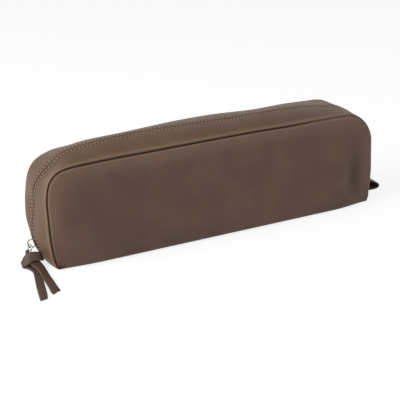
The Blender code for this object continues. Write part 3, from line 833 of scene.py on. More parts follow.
def buildStitchTree():
    # one stitch at each pitch, laid along the path with its back to the surface
    tree, given = newTree("Stitch row", {"Pitch": 0.0023, "Length": 0.0015, "Thread radius": 0.00025,
                                         "Slant": 0.1, "Start": 0.0})
    curve = addOutput(tree, "GeometryNodeMeshToCurve", {"Mesh": given["Geometry"]})
    # inputs 4 and 5 are the lengths of its start and end, and the end lies beyond any path
    trimmed = addOutput(tree, "GeometryNodeTrimCurve", {"Curve": curve, 4: given["Start"], 5: 10.0},
                        mode="LENGTH")
    spaced = addOutput(tree, "GeometryNodeResampleCurve", {"Curve": trimmed, "Length": given["Pitch"]},
                       mode="LENGTH")
    tangent = addOutput(tree, "GeometryNodeInputTangent")
    alongX = addOutput(tree, "FunctionNodeAlignRotationToVector", {"Vector": tangent}, axis="X")
    upZ = addOutput(tree, "FunctionNodeAlignRotationToVector",
                    {"Rotation": alongX, "Vector": pathVector(tree, "lift")}, axis="Z", pivot_axis="X")
    slanted = addOutput(tree, "FunctionNodeAxisAngleToRotation",
                        {"Axis": (0.0, 0.0, 1.0), "Angle": given["Slant"]})
    turned = addOutput(tree, "FunctionNodeRotateRotation", {0: upZ, 1: slanted}, rotation_space="LOCAL")
    ball = addOutput(tree, "GeometryNodeMeshUVSphere", {"Segments": 8, "Rings": 5, "Radius": 1.0})
    half, radius = addMath(tree, "MULTIPLY", given["Length"], 0.5), given["Thread radius"]
    size = addOutput(tree, "ShaderNodeCombineXYZ", {"X": half, "Y": radius, "Z": radius})
    placed = addOutput(tree, "GeometryNodeInstanceOnPoints",
                       {"Points": spaced, "Instance": ball, "Rotation": turned, "Scale": size})
    return finishTree(tree, placed, given["Material"])


coilTree = buildCoilTree()
stitchTree = buildStitchTree()


def coilPiece(name, side):
    z = zipSizes
    path = pathAlong(name + "Path", side, caseSizes["zipFoot"] + z["stopLength"] + gap,
                     lambda station: halfDepth - coilOffset(station), z["coilDepth"])
    return runTree(path, coilTree, {
        "Turn pitch": z["turnPitch"], "Radius": z["coilRadius"] - z["wireRadius"],
        "Wire radius": z["wireRadius"], "Steps per turn": z["stepsPerTurn"], "Material": nylon}, name)


stitchSizes = {
    "foot": 0.0065,
    "pitch": 0.0023,
    "length": 0.0015,
    "thread": 0.0003,
    "slant": 0.12,
    "fromLip": 0.0026,
    "holeLength": 0.0008,
    "holeRadius": 0.00027,
}


def stitchRow(name, side):
    # the thread along a lip, and dark pieces of painted shadow for the awl holes between its stitches
    s = stitchSizes
    rows = []
    for word, length, radius, slant, start, material in (
        ("", s["length"], s["thread"], s["slant"] * side, 0.0, linen),
        ("Holes", s["holeLength"], s["holeRadius"], 0.0, s["pitch"] / 2, holeDark),
    ):
        path = pathAlong(name + word + "Path", side, s["foot"],
                         lambda station: lipInward(station) - s["fromLip"], 0.0)
        rows.append(runTree(path, stitchTree, {
            "Pitch": s["pitch"], "Length": length, "Thread radius": radius, "Slant": slant, "Start": start,
            "Material": material}, name + word))
    return rows


def zipStop(name, sign, low, high):
    rings = []
    radius = zipSizes["coilRadius"]
    middle, half = (low + high) / 2, (high - low) / 2
    # (share of the stop's length, share of its size)
    for share, scale in ((0.0, 0.86), (0.12, 1.0), (0.88, 1.0), (1.0, 0.86)):
        station = archStations(caseSizes["zipFoot"] + zipSizes["stopLength"] * share)[0 if sign < 0 else -1]
        x, _, z = settled(gussetPoint(1, station, halfDepth, zipSizes["coilDepth"]))
        rings.append([(x + sign * radius * scale * up, middle + half * scale * wide, z)
                      for wide, up in softSection(16, 0.5, 0.5)])
    return tubeSolid(name, rings, nickel)


# Faces: the hide's front and back
faceSizes = {
    "crown": 0.0018,
    "crownPower": 4,
    "edgeRoll": 0.0021,
    "seamHalf": 0.00018,  # half the width of the notch along the seam
    "edgeDrop": 0.0001,
    "sheetInset": 0.0035,
    "rollFade": 0.007,
    "topRoll": 0.0009,  # how far the face leans back under the top seam
    "topRollHeight": 0.012,
    "softer": 1.3,  # and how much more it does so to the right
    "softerFrom": 0.010,
    "softerRun": 0.050,
    "slackDepth": 0.0004,  # how far the hide waves between its seams
    "slackLength": 0.045,
    "slackSquash": 1.4,
    "slackSeed": 3.7,
    "slackEdge": 0.22,  # share of the way in over which it starts
    "seamFootRun": 0.004,  # the seam's shade starts above the fold, but for the ends
    "seamEnd": 0.006,
    "seamEndRun": 0.003,
    # painted highlight: lighter bands along the face's left edge and under its top seam, fading inwards, off
    # the lower part and towards the right
    "wearAndSheenLevel": 0.32,
    "sheenFade": 0.30,
    "sheenFoot": 0.007,
    "sheenFootRun": 0.022,
    "sheenRightLoss": 0.8,
    "sheenRightFrom": 0.09,
    "sheenRightRun": 0.01,
    # painted shade in the front's deep dent at the right
    "dentShade": 0.30,
}
# The edge's loops in the seam: depth, inset, degrees that they go round the fold under the case
edgeLoops = [(0.0010, 0.00003, 68), (0.00095, 0.000144, 46), (0.0005, 0.000171, 23)]
# The loops that roll out of it: share of the roll, painted seam shade, painted highlight on the rolled edge
rollLoops = [(0.0, 1.0, 0.0), (0.03, 0.7, 0.05), (0.08, 0.25, 0.25), (0.15, 0.04, 0.45), (0.24, 0.0, 0.5),
             (0.35, 0.0, 0.5), (0.48, 0.0, 0.45), (0.62, 0.0, 0.4), (0.8, 0.0, 0.38), (1.0, 0.0, 0.35)]
swellShares = [0.05, 0.11, 0.18, 0.26, 0.35, 0.45, 0.56, 0.68, 0.8, 0.9, 0.975]
baseShares = [0.002, 0.01, 0.03] + [k / 40 for k in range(3, 38)] + [0.97, 0.99, 0.998]
# Soft dents of the front: middle (x, z), half sizes, depth
frontDents = [(0.0900, 0.021, 0.0048, 0.016, 0.0029), (0.072, 0.014, 0.014, 0.012, 0.0004),
              (-0.030, 0.018, 0.045, 0.016, 0.0003)]


def dentAt(dent, x, z):
    midX, midZ, halfX, halfZ, _ = dent
    return math.exp(-((x - midX) / halfX) ** 2 - ((z - midZ) / halfZ) ** 2)


def slackAt(x, z, side):
    f = faceSizes
    length = f["slackLength"]
    place = Vector((x / length, z / length * f["slackSquash"], side * f["slackSeed"]))
    slack = f["slackDepth"] * noise.noise(place)
    for dent in frontDents if side < 0 else ():
        slack -= dent[-1] * dentAt(dent, x, z)
    lean = max(0.0, 1 - (caseSizes["height"] - z) / f["topRollHeight"])
    softer = 1 + f["softer"] * grown(x, f["softerFrom"], f["softerRun"])
    return slack - f["topRoll"] * softer * lean ** 2


def faceLoop(side, inset, rise, edgeHeight, height, share=0.0, wrap=0.0):
    foot = faceFoot + rise
    points = [(x - nx * inset, z - nz * inset, edgeHeight(z)) for x, z, nx, nz, _ in archStations(foot)]
    left, right = points[0][0], points[-1][0]
    if wrap:
        foot = foldRadius * (1 - math.sin(wrap))
        height -= foldRadius * (1 - math.cos(wrap))
    points += [(mix(right, left, baseShare), foot, height) for baseShare in baseShares]
    swell = faceSizes["crown"] * (1 - (1 - share) ** faceSizes["crownPower"])
    loop = []
    for x, z, out in points:
        spineX = min(max(x, -spineHalf), spineHalf)
        atX, atZ = mix(x, spineX, share), mix(z, spineHeight, share)
        slack = slackAt(atX, atZ, side) * smoothStep(share / faceSizes["slackEdge"])
        loop.append((atX, side * (halfDepth + out + swell + slack), atZ))
    return loop


def rolledHeight(share, z):
    drop = 1 - math.sqrt(max(0.0, 1 - (1 - share) ** 2))
    return gap + (faceProud - gap) * (1 - drop * grown(z, faceFoot, faceSizes["rollFade"]))


def facePanel(name, side):
    f = faceSizes
    edgeRoll, under = f["edgeRoll"], faceProud - leather
    outer, paintedShade, wearAndSheen = [], [], []

    def addLoop(loop, seamShade, wearAndSheenShade):
        outer.append(loop)
        paintedShade.extend([seamShade] * len(loop))
        wearAndSheen.extend([wearAndSheenShade] * len(loop))

    # the edge dives into the seam before it rolls out, and goes on round the fold below
    for depth, inset, wrap in edgeLoops:
        addLoop(faceLoop(side, inset, -f["edgeDrop"], lambda z: -depth, faceProud,
                         wrap=math.radians(wrap)), 1.0, 0.0)
    for share, seamShade, wearAndSheenShade in rollLoops:
        addLoop(faceLoop(side, mix(f["seamHalf"], edgeRoll, share), edgeRoll * share,
                         lambda z: rolledHeight(share, z), faceProud), seamShade, wearAndSheenShade)
    # painted highlight on the face's broad lit bands, fading inwards
    for share in swellShares:
        addLoop(faceLoop(side, edgeRoll, edgeRoll, lambda z: faceProud, faceProud, share), 0.0,
                f["wearAndSheenLevel"] * (1 - smoothStep(share / f["sheenFade"])))
    inner = [faceLoop(side, mix(leather, edgeRoll, share), edgeRoll * share,
                      lambda z: mix(-edgeLoops[0][0], under, share), under) for share in (0.0, 1.0)]
    inner += [faceLoop(side, edgeRoll, edgeRoll, lambda z: under, under, share) for share in swellShares]
    piece = loopSolid(name, outer, inner, calf)
    innerCount = sum(len(loop) for loop in inner)
    for k, vertex in enumerate(piece.data.vertices[:len(paintedShade)]):
        x, _, z = vertex.co
        nearEnd = grown(abs(x), halfLength - f["seamEnd"], f["seamEndRun"])
        # painted seam shade, kept off the fold and weaker where the seam closes up; painted highlight kept
        # off the lower part and the right end
        paintedShade[k] *= max(grown(z, foldRadius, f["seamFootRun"]), nearEnd) * seamStrength(vertex.co)
        wearAndSheen[k] *= grown(z, f["sheenFoot"], f["sheenFootRun"])
        wearAndSheen[k] *= 1 - f["sheenRightLoss"] * grown(x, f["sheenRightFrom"], f["sheenRightRun"])
        if side < 0:
            # painted shade in the dent
            paintedShade[k] += f["dentShade"] * dentAt(frontDents[0], x, z)
    layShade(piece, "paintedShade", paintedShade + [caseSizes["hiddenShade"]] * innerCount)
    layShade(piece, "wearAndSheen", wearAndSheen + [0.0] * innerCount)
    return piece


def faceSheet(name, side, depth, thickness, material):
    inset = faceSizes["sheetInset"]
    sheets = [[faceLoop(side, inset, inset, lambda z: height, height, share) for share in [0.0, *swellShares]]
              for height in (faceProud - depth, faceProud - depth - thickness)]
    return loopSolid(name, sheets[0], sheets[1], material)


# Bottom: the hide with its folds, the board and the lining
bottomSizes = {
    "edgeRound": 0.0002,
    "wearAndSheenLevel": 0.5,
    "rubReach": 0.0012,
    "rubRun": 0.001,
    "sideSteps": 20,
    "foldSteps": 5,
    "flatSteps": 16,
    "layerSteps": 12,
}


def outerEnd(y, z):
    return seamHalfWidth(z) + gussetRise(max(0.0, halfDepth - abs(y)), gussetSizes["bulgeFoot"])


def innerEnd(y, z):
    inward = max(0.0, halfDepth - abs(y) - caseSizes["endInset"])
    return seamHalfWidth(z) + gussetRise(inward, gussetSizes["bulgeFoot"]) - leather - caseSizes["endGap"]


def stepsBothWays(half, count):
    return [half * k / count for k in range(-count, count + 1)]


def bottomSheet(name, profile, thickness, endOf, material, edgeRound=0.0):
    shares = stepsBothWays(1.0, bottomSizes["sideSteps"])
    grids = [], []
    for y, z, turn in profile:
        end = endOf(y, z)
        across, up = math.sin(turn) * thickness, math.cos(turn) * thickness
        # the middle of a rounded edge lies between the two sides
        for grid, level, edge in ((grids[0], 0.0, 0.3), (grids[1], 1.0, 0.7)):
            row = [((end - edgeRound) * share, y + across * level, z + up * level) for share in shares]
            if edgeRound:
                atY, atZ = y + across * edge, z + up * edge
                row = [(-end, atY, atZ), *row, (end, atY, atZ)]
            grid.append(row)
    return gridSolid(name, grids[0], grids[1], material)


def bottomPanel(name):
    b = bottomSizes
    flat = halfDepth + faceProud - foldRadius
    # from 1 degree off the place where the face's edge ends, under the case
    first = math.radians(90 - edgeLoops[0][2] - 1)
    turns = [first * (1 - k / b["foldSteps"]) for k in range(b["foldSteps"])]
    front = [(-flat - foldRadius * math.sin(turn), foldRadius * (1 - math.cos(turn)), turn) for turn in turns]
    middle = [(y, 0.0, 0.0) for y in stepsBothWays(flat, b["flatSteps"])]
    rear = [(-y, z, -turn) for y, z, turn in reversed(front)]
    piece = bottomSheet(name, front + middle + rear, leather, outerEnd, calf, b["edgeRound"])
    layShade(piece, "paintedShade", [0.0] * len(piece.data.vertices))
    layShade(piece, "wearAndSheen", [b["wearAndSheenLevel"] * grown(abs(x), outerEnd(y, z) - b["rubReach"], b["rubRun"])
                               for x, y, z in (v.co for v in piece.data.vertices)])
    return piece


def bottomLayer(name, low, thickness, material):
    profile = [(y, low, 0.0) for y in stepsBothWays(halfDepth - foldRadius, bottomSizes["layerSteps"])]
    return bottomSheet(name, profile, thickness, innerEnd, material)


def joinHalf(piece, side):
    # the front half keeps its place in the world, and the rear half goes with the base
    if side < 0:
        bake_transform(piece)
    else:
        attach(piece, "base")


def joinFixed(piece, body, node):
    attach(piece, body)
    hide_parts(node)


for word, side in (("front", -1), ("rear", 1)):
    boards = faceSheet(f"{word}Board", side, boardDepth, caseSizes["board"], fibreBoard)
    linings = faceSheet(f"{word}Lining", side, liningDepth, caseSizes["lining"], cottonTwill)
    face = facePanel(f"{word}Hide", side)
    strip = gussetHalf(f"{word}Gusset", side)
    stripLining = gussetLining(f"{word}GussetLining", side)
    tape = zipTape(f"{word}ZipTape", side)
    coil = coilPiece(f"{word}ZipCoil", side)
    thread, holes = stitchRow(f"{word}LipStitches", side)
    for piece, node, slot in ((boards, "board", "board"), (linings, "lining", "lining"),
                              (face, "panel", "hide"), (strip, "gusset", "hide"),
                              (stripLining, "gusset_lining", "lining"), (tape, "zip_tape", "tape"),
                              (coil, "zip_coil", "coil")):
        joinHalf(piece, side)
        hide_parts(f"{word}_{node}")
    for piece in (thread, holes):
        joinHalf(piece, side)
    print("Half made:", word)

joinFixed(bottomPanel("bottomHide"), "base", "bottom_panel")
for word, low, material in (("Board", boardDepth, fibreBoard), ("Lining", liningDepth, cottonTwill)):
    key = word.lower()
    joinFixed(bottomLayer("bottom" + word, low, caseSizes[key], material), "base", "bottom_" + key)

spread, coilRadius = zipSizes["coilSpread"], zipSizes["coilRadius"]
for name, node, sign, middle, half in (
    ("frontTopStop", "front_top_stop", -1, -spread, coilRadius),
    ("rearTopStop", "rear_top_stop", -1, spread, coilRadius),
    ("bottomStop", "bottom_stop", 1, 0.0, 2 * coilRadius),
):
    joinFixed(zipStop(name, sign, middle - half, middle + half), "base", node)
print("Bottom and stops made")


# Slider, built round its middle: x along its travel, y across, z away from the case

def lipCrest(height):
    station = (-seamHalfWidth(height), height, -1.0, 0.0, 0.0)
    return Vector(gussetPoint(1, station, halfDepth, 0.0))


def zipCentre():
    low, middle, high = [lipCrest(sliderSizes["height"] + sliderSizes["travel"] * share)
                         for share in (0.0, 0.5, 1.0)]
    a, b = middle - low, high - low
    twice = 2 * (a.x * b.z - a.z * b.x)
    x = (b.z * a.length_squared - a.z * b.length_squared) / twice
    z = (a.x * b.length_squared - b.x * a.length_squared) / twice
    return low + Vector((x, 0.0, z))


sliderOrigin = lipCrest(sliderSizes["height"])
outward = (sliderOrigin - zipCentre()).normalized()
travel = Vector((outward.z, 0.0, -outward.x))
across = outward.cross(travel)


def onSlider(x, y, z):
    return sliderOrigin + travel * x + across * y + outward * z


def softPlate(name, outline, low, high, rounding):
    # a plate with rounded edges from a smooth outline of (x, y)
    middle = sum((Vector(p) for p in outline), Vector((0.0, 0.0))) / len(outline)
    rings = []
    for share, z in ((1.0, low), (0.3, low + rounding * 0.3), (0.0, low + rounding), (0.0, high - rounding),
                     (0.3, high - rounding * 0.3), (1.0, high)):
        ring = []
        for x, y in outline:
            away = Vector((x, y)) - middle
            away = away * (1 - rounding * share / max(away.length, rounding))
            ring.append(onSlider(middle.x + away.x, middle.y + away.y, z))
        rings.append(ring)
    return tubeSolid(name, rings, nickel, sharpAngle=60)


def smoothOutline(points, steps=4):
    return [(p.x, p.y) for p in catmull([Vector(p) for p in points], steps, closed=True)]


def mirrored(half):
    return [(x, -y) for x, y in half] + [(x, y) for x, y in reversed(half) if y]


def barAlong(name, points, width, thickness, material, steps=5):
    # a flat bar with rounded edges, bent through points (x, z) of the slider's middle plane
    line = catmull([Vector((x, z)) for x, z in points], steps)
    rings = []
    for k, p in enumerate(line):
        ahead = (line[min(k + 1, len(line) - 1)] - line[max(k - 1, 0)]).normalized()
        normal = Vector((-ahead.y, ahead.x))
        ring = []
        for wide, up in softSection(12, 0.45, 0.45):
            d = thickness / 2 * up
            ring.append(onSlider(p.x + normal.x * d, width / 2 * wide, p.y + normal.y * d))
        rings.append(ring)
    return tubeSolid(name, rings, material, sharpAngle=60)


def sliderPiece():
    s = sliderSizes
    half, wide = s["length"] / 2, s["width"] / 2
    room = coilRadius + gap
    top, sole = room - zipSizes["coilDepth"], -room - zipSizes["coilDepth"]
    plate = smoothOutline(mirrored([(-half, wide * 0.45), (-half * 0.96, wide * 0.72), (-half * 0.75, wide),
                                    (-half * 0.1, wide), (half * 0.6, wide * 0.84), (half, wide * 0.66)]))
    parts = [softPlate("topPlate", plate, top, top + s["plate"], s["plateRound"]),
             softPlate("solePlate", plate, sole - s["plate"], sole, s["plateRound"])]
    post = smoothOutline(mirrored([(-half * 0.93, s["postWidth"] * 0.2), (-half * 0.7, s["postWidth"] / 2),
                                   (-half * 0.2, s["postWidth"] * 0.12)]))
    into = s["overlap"]
    parts.append(softPlate("post", post, sole - into, top + into, s["postRound"]))
    slot, thin = zipSizes["tape"] / 2 + gap, wide - s["plate"]
    for side in (-1, 1):
        wall = smoothOutline([(-half * 0.75, side * wide), (-half * 0.1, side * wide),
                              (half * 0.55, side * wide * 0.86), (half * 0.55, side * thin * 0.86),
                              (-half * 0.1, side * thin), (-half * 0.75, side * thin)], 3)
        for word, low, high in (("soleWall", sole - into, -zipSizes["coilDepth"] - slot),
                                ("topWall", slot - zipSizes["coilDepth"], top + into)):
            parts.append(softPlate(word, wall, low, high, s["wallRound"]))
    crown, bend = s["crownLength"] / 2 - s["crownBar"] / 2, s["crownBend"]
    high = bailSizes["rise"] + bailSizes["wire"] / 2 + gap + s["crownBar"] / 2
    low = top + s["plate"] / 2
    rising = [(-crown, low), (-crown, mix(low, high, 0.4)), (-crown, high - bend), (-crown + bend, high)]
    path = [*rising, (0.0, high + 0.0001), *((-x, z) for x, z in reversed(rising))]
    parts.append(barAlong("crown", path, s["crownThickness"], s["crownBar"], nickel))
    return joinPieces("zipSlider", parts)


joinFixed(sliderPiece(), "slider", "slider_body")


# Bail: a wire rectangle with round corners

def bailPlaces():
    seat = sliderSizes["crownLength"] / 2 - sliderSizes["crownBar"] - gap - bailSizes["wire"] / 2
    upper = sliderOrigin + outward * bailSizes["rise"] - travel * seat
    lean = math.radians(bailSizes["lean"])
    return upper, upper + Vector((-math.sin(lean), 0.0, -math.cos(lean))) * bailSizes["length"]


def bailPiece():
    upper, lower = bailPlaces()
    down = (lower - upper).normalized()
    yAxis = Vector((0.0, 1.0, 0.0))
    b = bailSizes
    bend, length = b["wire"] * b["bendShare"], b["length"]
    half = b["innerWidth"] / 2 + b["wire"] / 2
    centres = []
    for corner, (signY, signD) in enumerate(((1, 1), (-1, 1), (-1, -1), (1, -1))):
        for k in range(b["cornerSteps"] + 1):
            turn = math.pi / 2 * (corner + k / b["cornerSteps"])
            y = signY * (half - bend) + bend * math.cos(turn)
            d = length / 2 + signD * (length / 2 - bend) + bend * math.sin(turn)
            centres.append(upper + yAxis * y + down * d)
    away = yAxis.cross(down)
    rings = []
    for k, centre in enumerate(centres):
        along = (centres[(k + 1) % len(centres)] - centres[k - 1]).normalized()
        side = along.cross(away)
        turns = (2 * math.pi * m / b["sectionPoints"] for m in range(b["sectionPoints"]))
        rings.append([centre + (side * math.cos(q) + away * math.sin(q)) * b["wire"] / 2 for q in turns])
    return tubeSolid("pullBail", rings, nickel, closed=True, sharpAngle=80)


joinFixed(bailPiece(), "bail", "pull_bail")
print("Slider and bail made")

# Strap: one leather thong through the bail, over its own long tail, round under it and out beside it
strapSizes = {
    "width": 0.0049,
    "thickness": 0.0012,
    "neckShare": 0.66,  # of its width where the bail gathers it
    "neckThin": 0.7,  # of its thickness there
    "sectionPoints": 20,
    "edgePoints": (0, 9, 10, 19),  # those at its two edges, which are rubbed
    "edgeRub": 0.45,
    "steps": 5,  # between two places of its route
    "turnSteps": 4,  # round the bail's bar
}
# The strap's route in millimetres: place, direction across it, share of its width. The short tail comes
# from its tip up to the bail's outer side. From the bail's inner side the strap turns to the front, crosses
# over the short tail as a band, goes round to the left and leaves below it as the long tail.
shortTailRoute = [
    ((-111.6, -47.3, 0.8), (0.80, 0.60, 0.0), 1.12), ((-111.4, -40.0, 0.8), (1.0, 0.0, 0.0), 1.0),
    ((-111.3, -33.0, 0.9), (1.0, 0.0, -0.06), 1.0), ((-111.35, -27.0, 1.3), (1.0, 0.0, -0.25), 1.02),
    ((-111.4, -21.0, 1.8), (1.0, 0.0, -0.26), 1.05), ((-112.0, -15.5, 2.45), (1.0, 0.0, -0.1), 1.18),
    ((-112.8, -11.5, 2.75), (1.0, 0.0, 0.0), 1.25), ((-113.2, -8.2, 2.8), (1.0, 0.05, 0.0), 1.05),
    ((-113.8, -5.2, 2.7), (0.95, 0.3, 0.0), 0.8), ((-114.8, -2.4, 2.6), (0.6, 0.8, 0.0), 0.72),
    ((-115.0, -0.6, 3.5), (0.2, 0.98, 0.0), 0.67),
]
bandRoute = [
    ((-112.5, -0.5, 3.6), (0.0, 0.7, -0.7), 0.68), ((-112.4, -1.9, 3.3), (0.0, -0.2, -1.0), 0.7),
    ((-111.6, -3.8, 3.9), (0.0, -0.3, -1.0), 0.8), ((-110.5, -6.2, 4.9), (0.0, -0.45, -0.9), 0.9),
    ((-109.3, -8.6, 5.5), (0.1, -0.5, -0.86), 0.98), ((-108.7, -10.0, 5.6), (0.2, -0.55, -0.8), 1.02),
    ((-109.2, -11.0, 6.0), (0.2, -0.58, -0.8), 1.04), ((-110.6, -11.0, 6.5), (0.08, -0.58, -0.81), 1.06),
    ((-113.0, -10.4, 6.8), (0.0, -0.6, -0.8), 1.12), ((-115.4, -10.0, 6.2), (-0.05, -0.62, -0.78), 1.22),
    ((-117.3, -9.6, 4.9), (-0.1, -0.72, -0.68), 1.3), ((-118.7, -9.0, 3.6), (-0.1, -0.88, -0.45), 1.25),
    ((-119.6, -8.4, 2.4), (-0.1, -1.0, -0.1), 1.12), ((-119.5, -8.0, 1.4), (-0.1, -1.0, 0.0), 1.05),
    ((-118.6, -8.2, 0.85), (-0.3, -0.95, 0.0), 1.05), ((-117.2, -9.2, 0.8), (-0.6, -0.8, 0.0), 1.05),
    ((-116.0, -11.0, 0.8), (-0.85, -0.52, 0.0), 1.05), ((-115.0, -13.4, 0.8), (-0.95, -0.3, 0.0), 1.02),
    ((-114.3, -16.2, 0.8), (-0.99, -0.1, 0.0), 1.0), ((-114.2, -19.5, 0.8), (-0.995, 0.08, 0.0), 1.0),
    ((-115.3, -26.0, 0.8), (-0.988, 0.154, 0.0), 1.0), ((-117.0, -35.0, 0.8), (-0.988, 0.154, 0.0), 1.0),
    ((-118.6, -45.0, 0.8), (-0.988, 0.154, 0.0), 1.0), ((-119.8, -52.2, 0.8), (-0.967, -0.25, 0.0), 0.97),
]


def routed(route):
    return [(Vector(place) / 1000, Vector(direction).normalized(), share)
            for place, direction, share in route]


def strapStations():
    bar = bailPlaces()[1]
    over = bailSizes["wire"] / 2 + gap / 2 + strapSizes["thickness"] * strapSizes["neckThin"] / 2
    yAxis = Vector((0.0, 1.0, 0.0))
    around = []
    for k in range(strapSizes["turnSteps"] + 1):
        turn = math.pi * k / strapSizes["turnSteps"]
        place = bar + Vector((-math.cos(turn), 0.0, math.sin(turn))) * over
        around.append((place, yAxis, strapSizes["neckShare"]))
    return routed(shortTailRoute) + around + routed(bandRoute)


def strapRing(place, direction, along, share):
    # a flat section with soft edges
    s = strapSizes
    thick = along.cross(direction).normalized()
    thin = mix(s["neckThin"], 1.0, grown(share, s["neckShare"], 1 - s["neckShare"]))
    return [place + direction * (s["width"] / 2 * share * wide) + thick * (s["thickness"] / 2 * thin * up)
            for wide, up in softSection(s["sectionPoints"], 0.3, 0.55)]


def strapPiece():
    s = strapSizes
    places, directions, shares = (catmull(values, s["steps"]) for values in zip(*strapStations()))
    rings = []
    for k, place in enumerate(places):
        before, after = places[max(k - 1, 0)], places[min(k + 1, len(places) - 1)]
        along = (after - before).normalized()
        direction = directions[k]
        if 0 < k < len(places) - s["steps"]:
            direction = direction - along * direction.dot(along)
        rings.append(strapRing(place, direction.normalized(), along, shares[k]))
    piece = tubeSolid("hitchedStrap", rings, thong, sharpAngle=60)
    layShade(piece, "paintedShade", [0.0] * len(piece.data.vertices))
    layShade(piece, "wearAndSheen", [s["edgeRub"] if k % s["sectionPoints"] in s["edgePoints"] else 0.0
                               for k in range(len(piece.data.vertices))])
    return piece


joinFixed(strapPiece(), "puller", "leather_strap")
print("Strap made")

# Tab at the zip's far end, and the patch that closes the lips below the slider
tabSizes = {
    "reach": 0.0139,
    "width": 0.0110,
    "top": 0.0088,
    "bottom": 0.0013,
    "droop": 0.0033,
    # painted highlight on the loop's outer side, and painted shade inside it
    "wearAndSheenLevel": 0.25,
    "insideShade": 0.75,
    # a lighter colour over the patch below the slider
    "patchLighter": 0.2,
    "bendSteps": 24,
    "widthSteps": 10,
    "patchSteps": (12, 5),  # across and up
}


def endFace(height, away=0.0):
    return seamHalfWidth(height) + gussetRise(halfDepth - away, gussetBulge(0.0, height, 0.0))


def endTab():
    t = tabSizes
    middle, half = (t["top"] + t["bottom"]) / 2, (t["top"] - t["bottom"]) / 2
    grids = []
    for depth in (0.0, leather):
        grid = []
        for k in range(t["bendSteps"] + 1):
            turn = math.pi * (0.5 - k / t["bendSteps"])
            reach = (t["reach"] - depth) * math.cos(turn)
            z = middle - t["droop"] * reach / t["reach"] + (half - depth) * math.sin(turn)
            x = endFace(z) + gap + reach
            places = (t["width"] * (m / t["widthSteps"] - 0.5) for m in range(t["widthSteps"] + 1))
            grid.append([(x, y, z) for y in places])
        grids.append(grid)
    piece = gridSolid("endTab", grids[0], grids[1], calf)
    outerCount = len(piece.data.vertices) // 2
    # painted shade inside the loop, painted highlight on its outer side
    layShade(piece, "paintedShade", [0.0] * outerCount + [t["insideShade"]] * outerCount)
    layShade(piece, "wearAndSheen", [t["wearAndSheenLevel"]] * outerCount + [0.0] * outerCount)
    return piece


def endPatch():
    across, up = tabSizes["patchSteps"]
    ends = [gussetSizes["patchWidth"] * (k / across - 0.5) for k in range(across + 1)]
    levels = [mix(leather + gap, gussetSizes["lensBottom"] - gap, k / up) for k in range(up + 1)]
    grids = [[[(depth - endFace(z, abs(y)), y, z) for y in ends] for z in levels] for depth in (0.0, leather)]
    piece = gridSolid("zipEndPatch", grids[0], grids[1], calf)
    layShade(piece, "paintedShade", [0.0] * len(piece.data.vertices))
    layShade(piece, "wearAndSheen", [tabSizes["patchLighter"]] * len(piece.data.vertices))
    return piece


joinFixed(endTab(), "base", "end_tab")
joinFixed(endPatch(), "base", "zip_end_patch")
print("Tab and patch made")

# Floor, light and camera
stageSizes = {
    "floorHalf": 3.0,
    "worldStrength": 0.36,
    "floorGlow": 0.80,
    "floorShade": 0.28,
    "floorPlain": 0.8,
    "aim": (0.0, 0.0, 0.03),
}
# (name, place, size, watts)
lamps = [("softboxLeft", (-0.75, -0.06, 0.40), (0.5, 0.5), 5.5),
         ("softboxTop", (0.05, 0.1, 0.9), (0.8, 0.5), 0.25),
         ("fillFront", (0.58, -0.55, 0.55), (0.5, 0.4), 1.5)]


def whiteForCamera(tree):
    # 1 where a ray comes straight from the camera, or through a reflection or glass
    rays = addNode(tree, "ShaderNodeLightPath").outputs
    first = addMath(tree, "MAXIMUM", rays["Is Camera Ray"], rays["Is Glossy Ray"])
    return addMath(tree, "MAXIMUM", first, rays["Is Transmission Ray"])


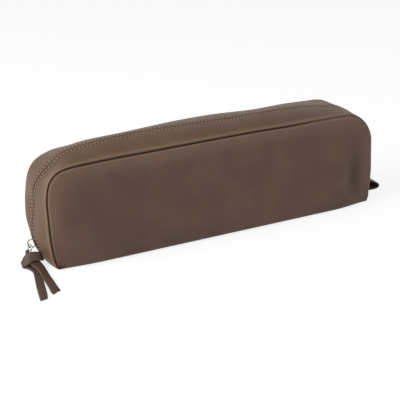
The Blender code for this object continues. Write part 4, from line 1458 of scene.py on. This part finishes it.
def makeFloor():
    half = stageSizes["floorHalf"]
    build = bmesh.new()
    build.faces.new([build.verts.new((half * x, half * y, 0.0))
                     for x, y in ((-1, -1), (1, -1), (1, 1), (-1, 1))])
    material, tree, shader = newMaterial("Matt white studio floor")
    tree.nodes.remove(shader)
    plain, dim = (addOutput(tree, "ShaderNodeBsdfDiffuse", {"Color": (shade, shade, shade, 1.0)})
                  for shade in (stageSizes["floorPlain"], stageSizes["floorShade"]))
    glow = addOutput(tree, "ShaderNodeEmission", {"Strength": stageSizes["floorGlow"]})
    shown = addOutput(tree, "ShaderNodeAddShader", {0: dim, 1: glow})
    chosen = addOutput(tree, "ShaderNodeMixShader", {0: whiteForCamera(tree), 1: plain, 2: shown})
    tree.links.new(chosen, tree.nodes["Material Output"].inputs["Surface"])
    floor = finishPiece("studioFloor", build, material)
    if floor.data.polygons[0].normal.z < 0:
        floor.data.flip_normals()


def makeWorld():
    world = bpy.data.worlds.new("Studio")
    bpy.context.scene.world = world
    world.use_nodes = True
    tree = world.node_tree
    strength = addRange(tree, whiteForCamera(tree), 0.0, 1.0, stageSizes["worldStrength"], 1.0)
    fillInputs(tree, tree.nodes["Background"], {"Color": (1.0, 1.0, 1.0, 1.0), "Strength": strength})


def addLamp(name, place, size, watts):
    lamp = bpy.data.lights.new(name, "AREA")
    lamp.shape = "RECTANGLE"
    lamp.size, lamp.size_y = size
    lamp.energy = watts
    holder = linkObject(name, lamp)
    holder.location = place
    holder.rotation_euler = (Vector(stageSizes["aim"]) - Vector(place)).to_track_quat("-Z", "Y").to_euler()


cameraSizes = {
    "azimuth": 22.7,
    "elevation": 23.19,
    "roll": -2.40,
    "distance": 0.6728,
    "target": (-0.0045, 0.0, 0.0154),
    "lens": 99.0,
    "sensor": 36.0,
    "clip": (0.01, 20.0),
}


def makeCamera():
    c = cameraSizes
    a, e, r = (math.radians(c[key]) for key in ("azimuth", "elevation", "roll"))
    ahead = Vector((math.sin(a) * math.cos(e), math.cos(a) * math.cos(e), -math.sin(e)))
    right = Vector((math.cos(a), -math.sin(a), 0.0))
    up = right.cross(ahead)
    rolledRight = right * math.cos(r) + up * math.sin(r)
    rolledUp = up * math.cos(r) - right * math.sin(r)
    camera = linkObject("photoCamera", bpy.data.cameras.new("photoCamera"))
    camera.data.lens, camera.data.sensor_width = c["lens"], c["sensor"]
    camera.data.clip_start, camera.data.clip_end = c["clip"]
    turn = Matrix((rolledRight, rolledUp, -ahead)).transposed().to_4x4()
    camera.matrix_world = Matrix.Translation(Vector(c["target"]) - ahead * c["distance"]) @ turn
    bpy.context.scene.camera = camera


makeFloor()
makeWorld()
for lamp in lamps:
    addLamp(*lamp)
makeCamera()
bpy.context.scene.view_settings.view_transform = "Standard"
print("Floor, light and camera made")
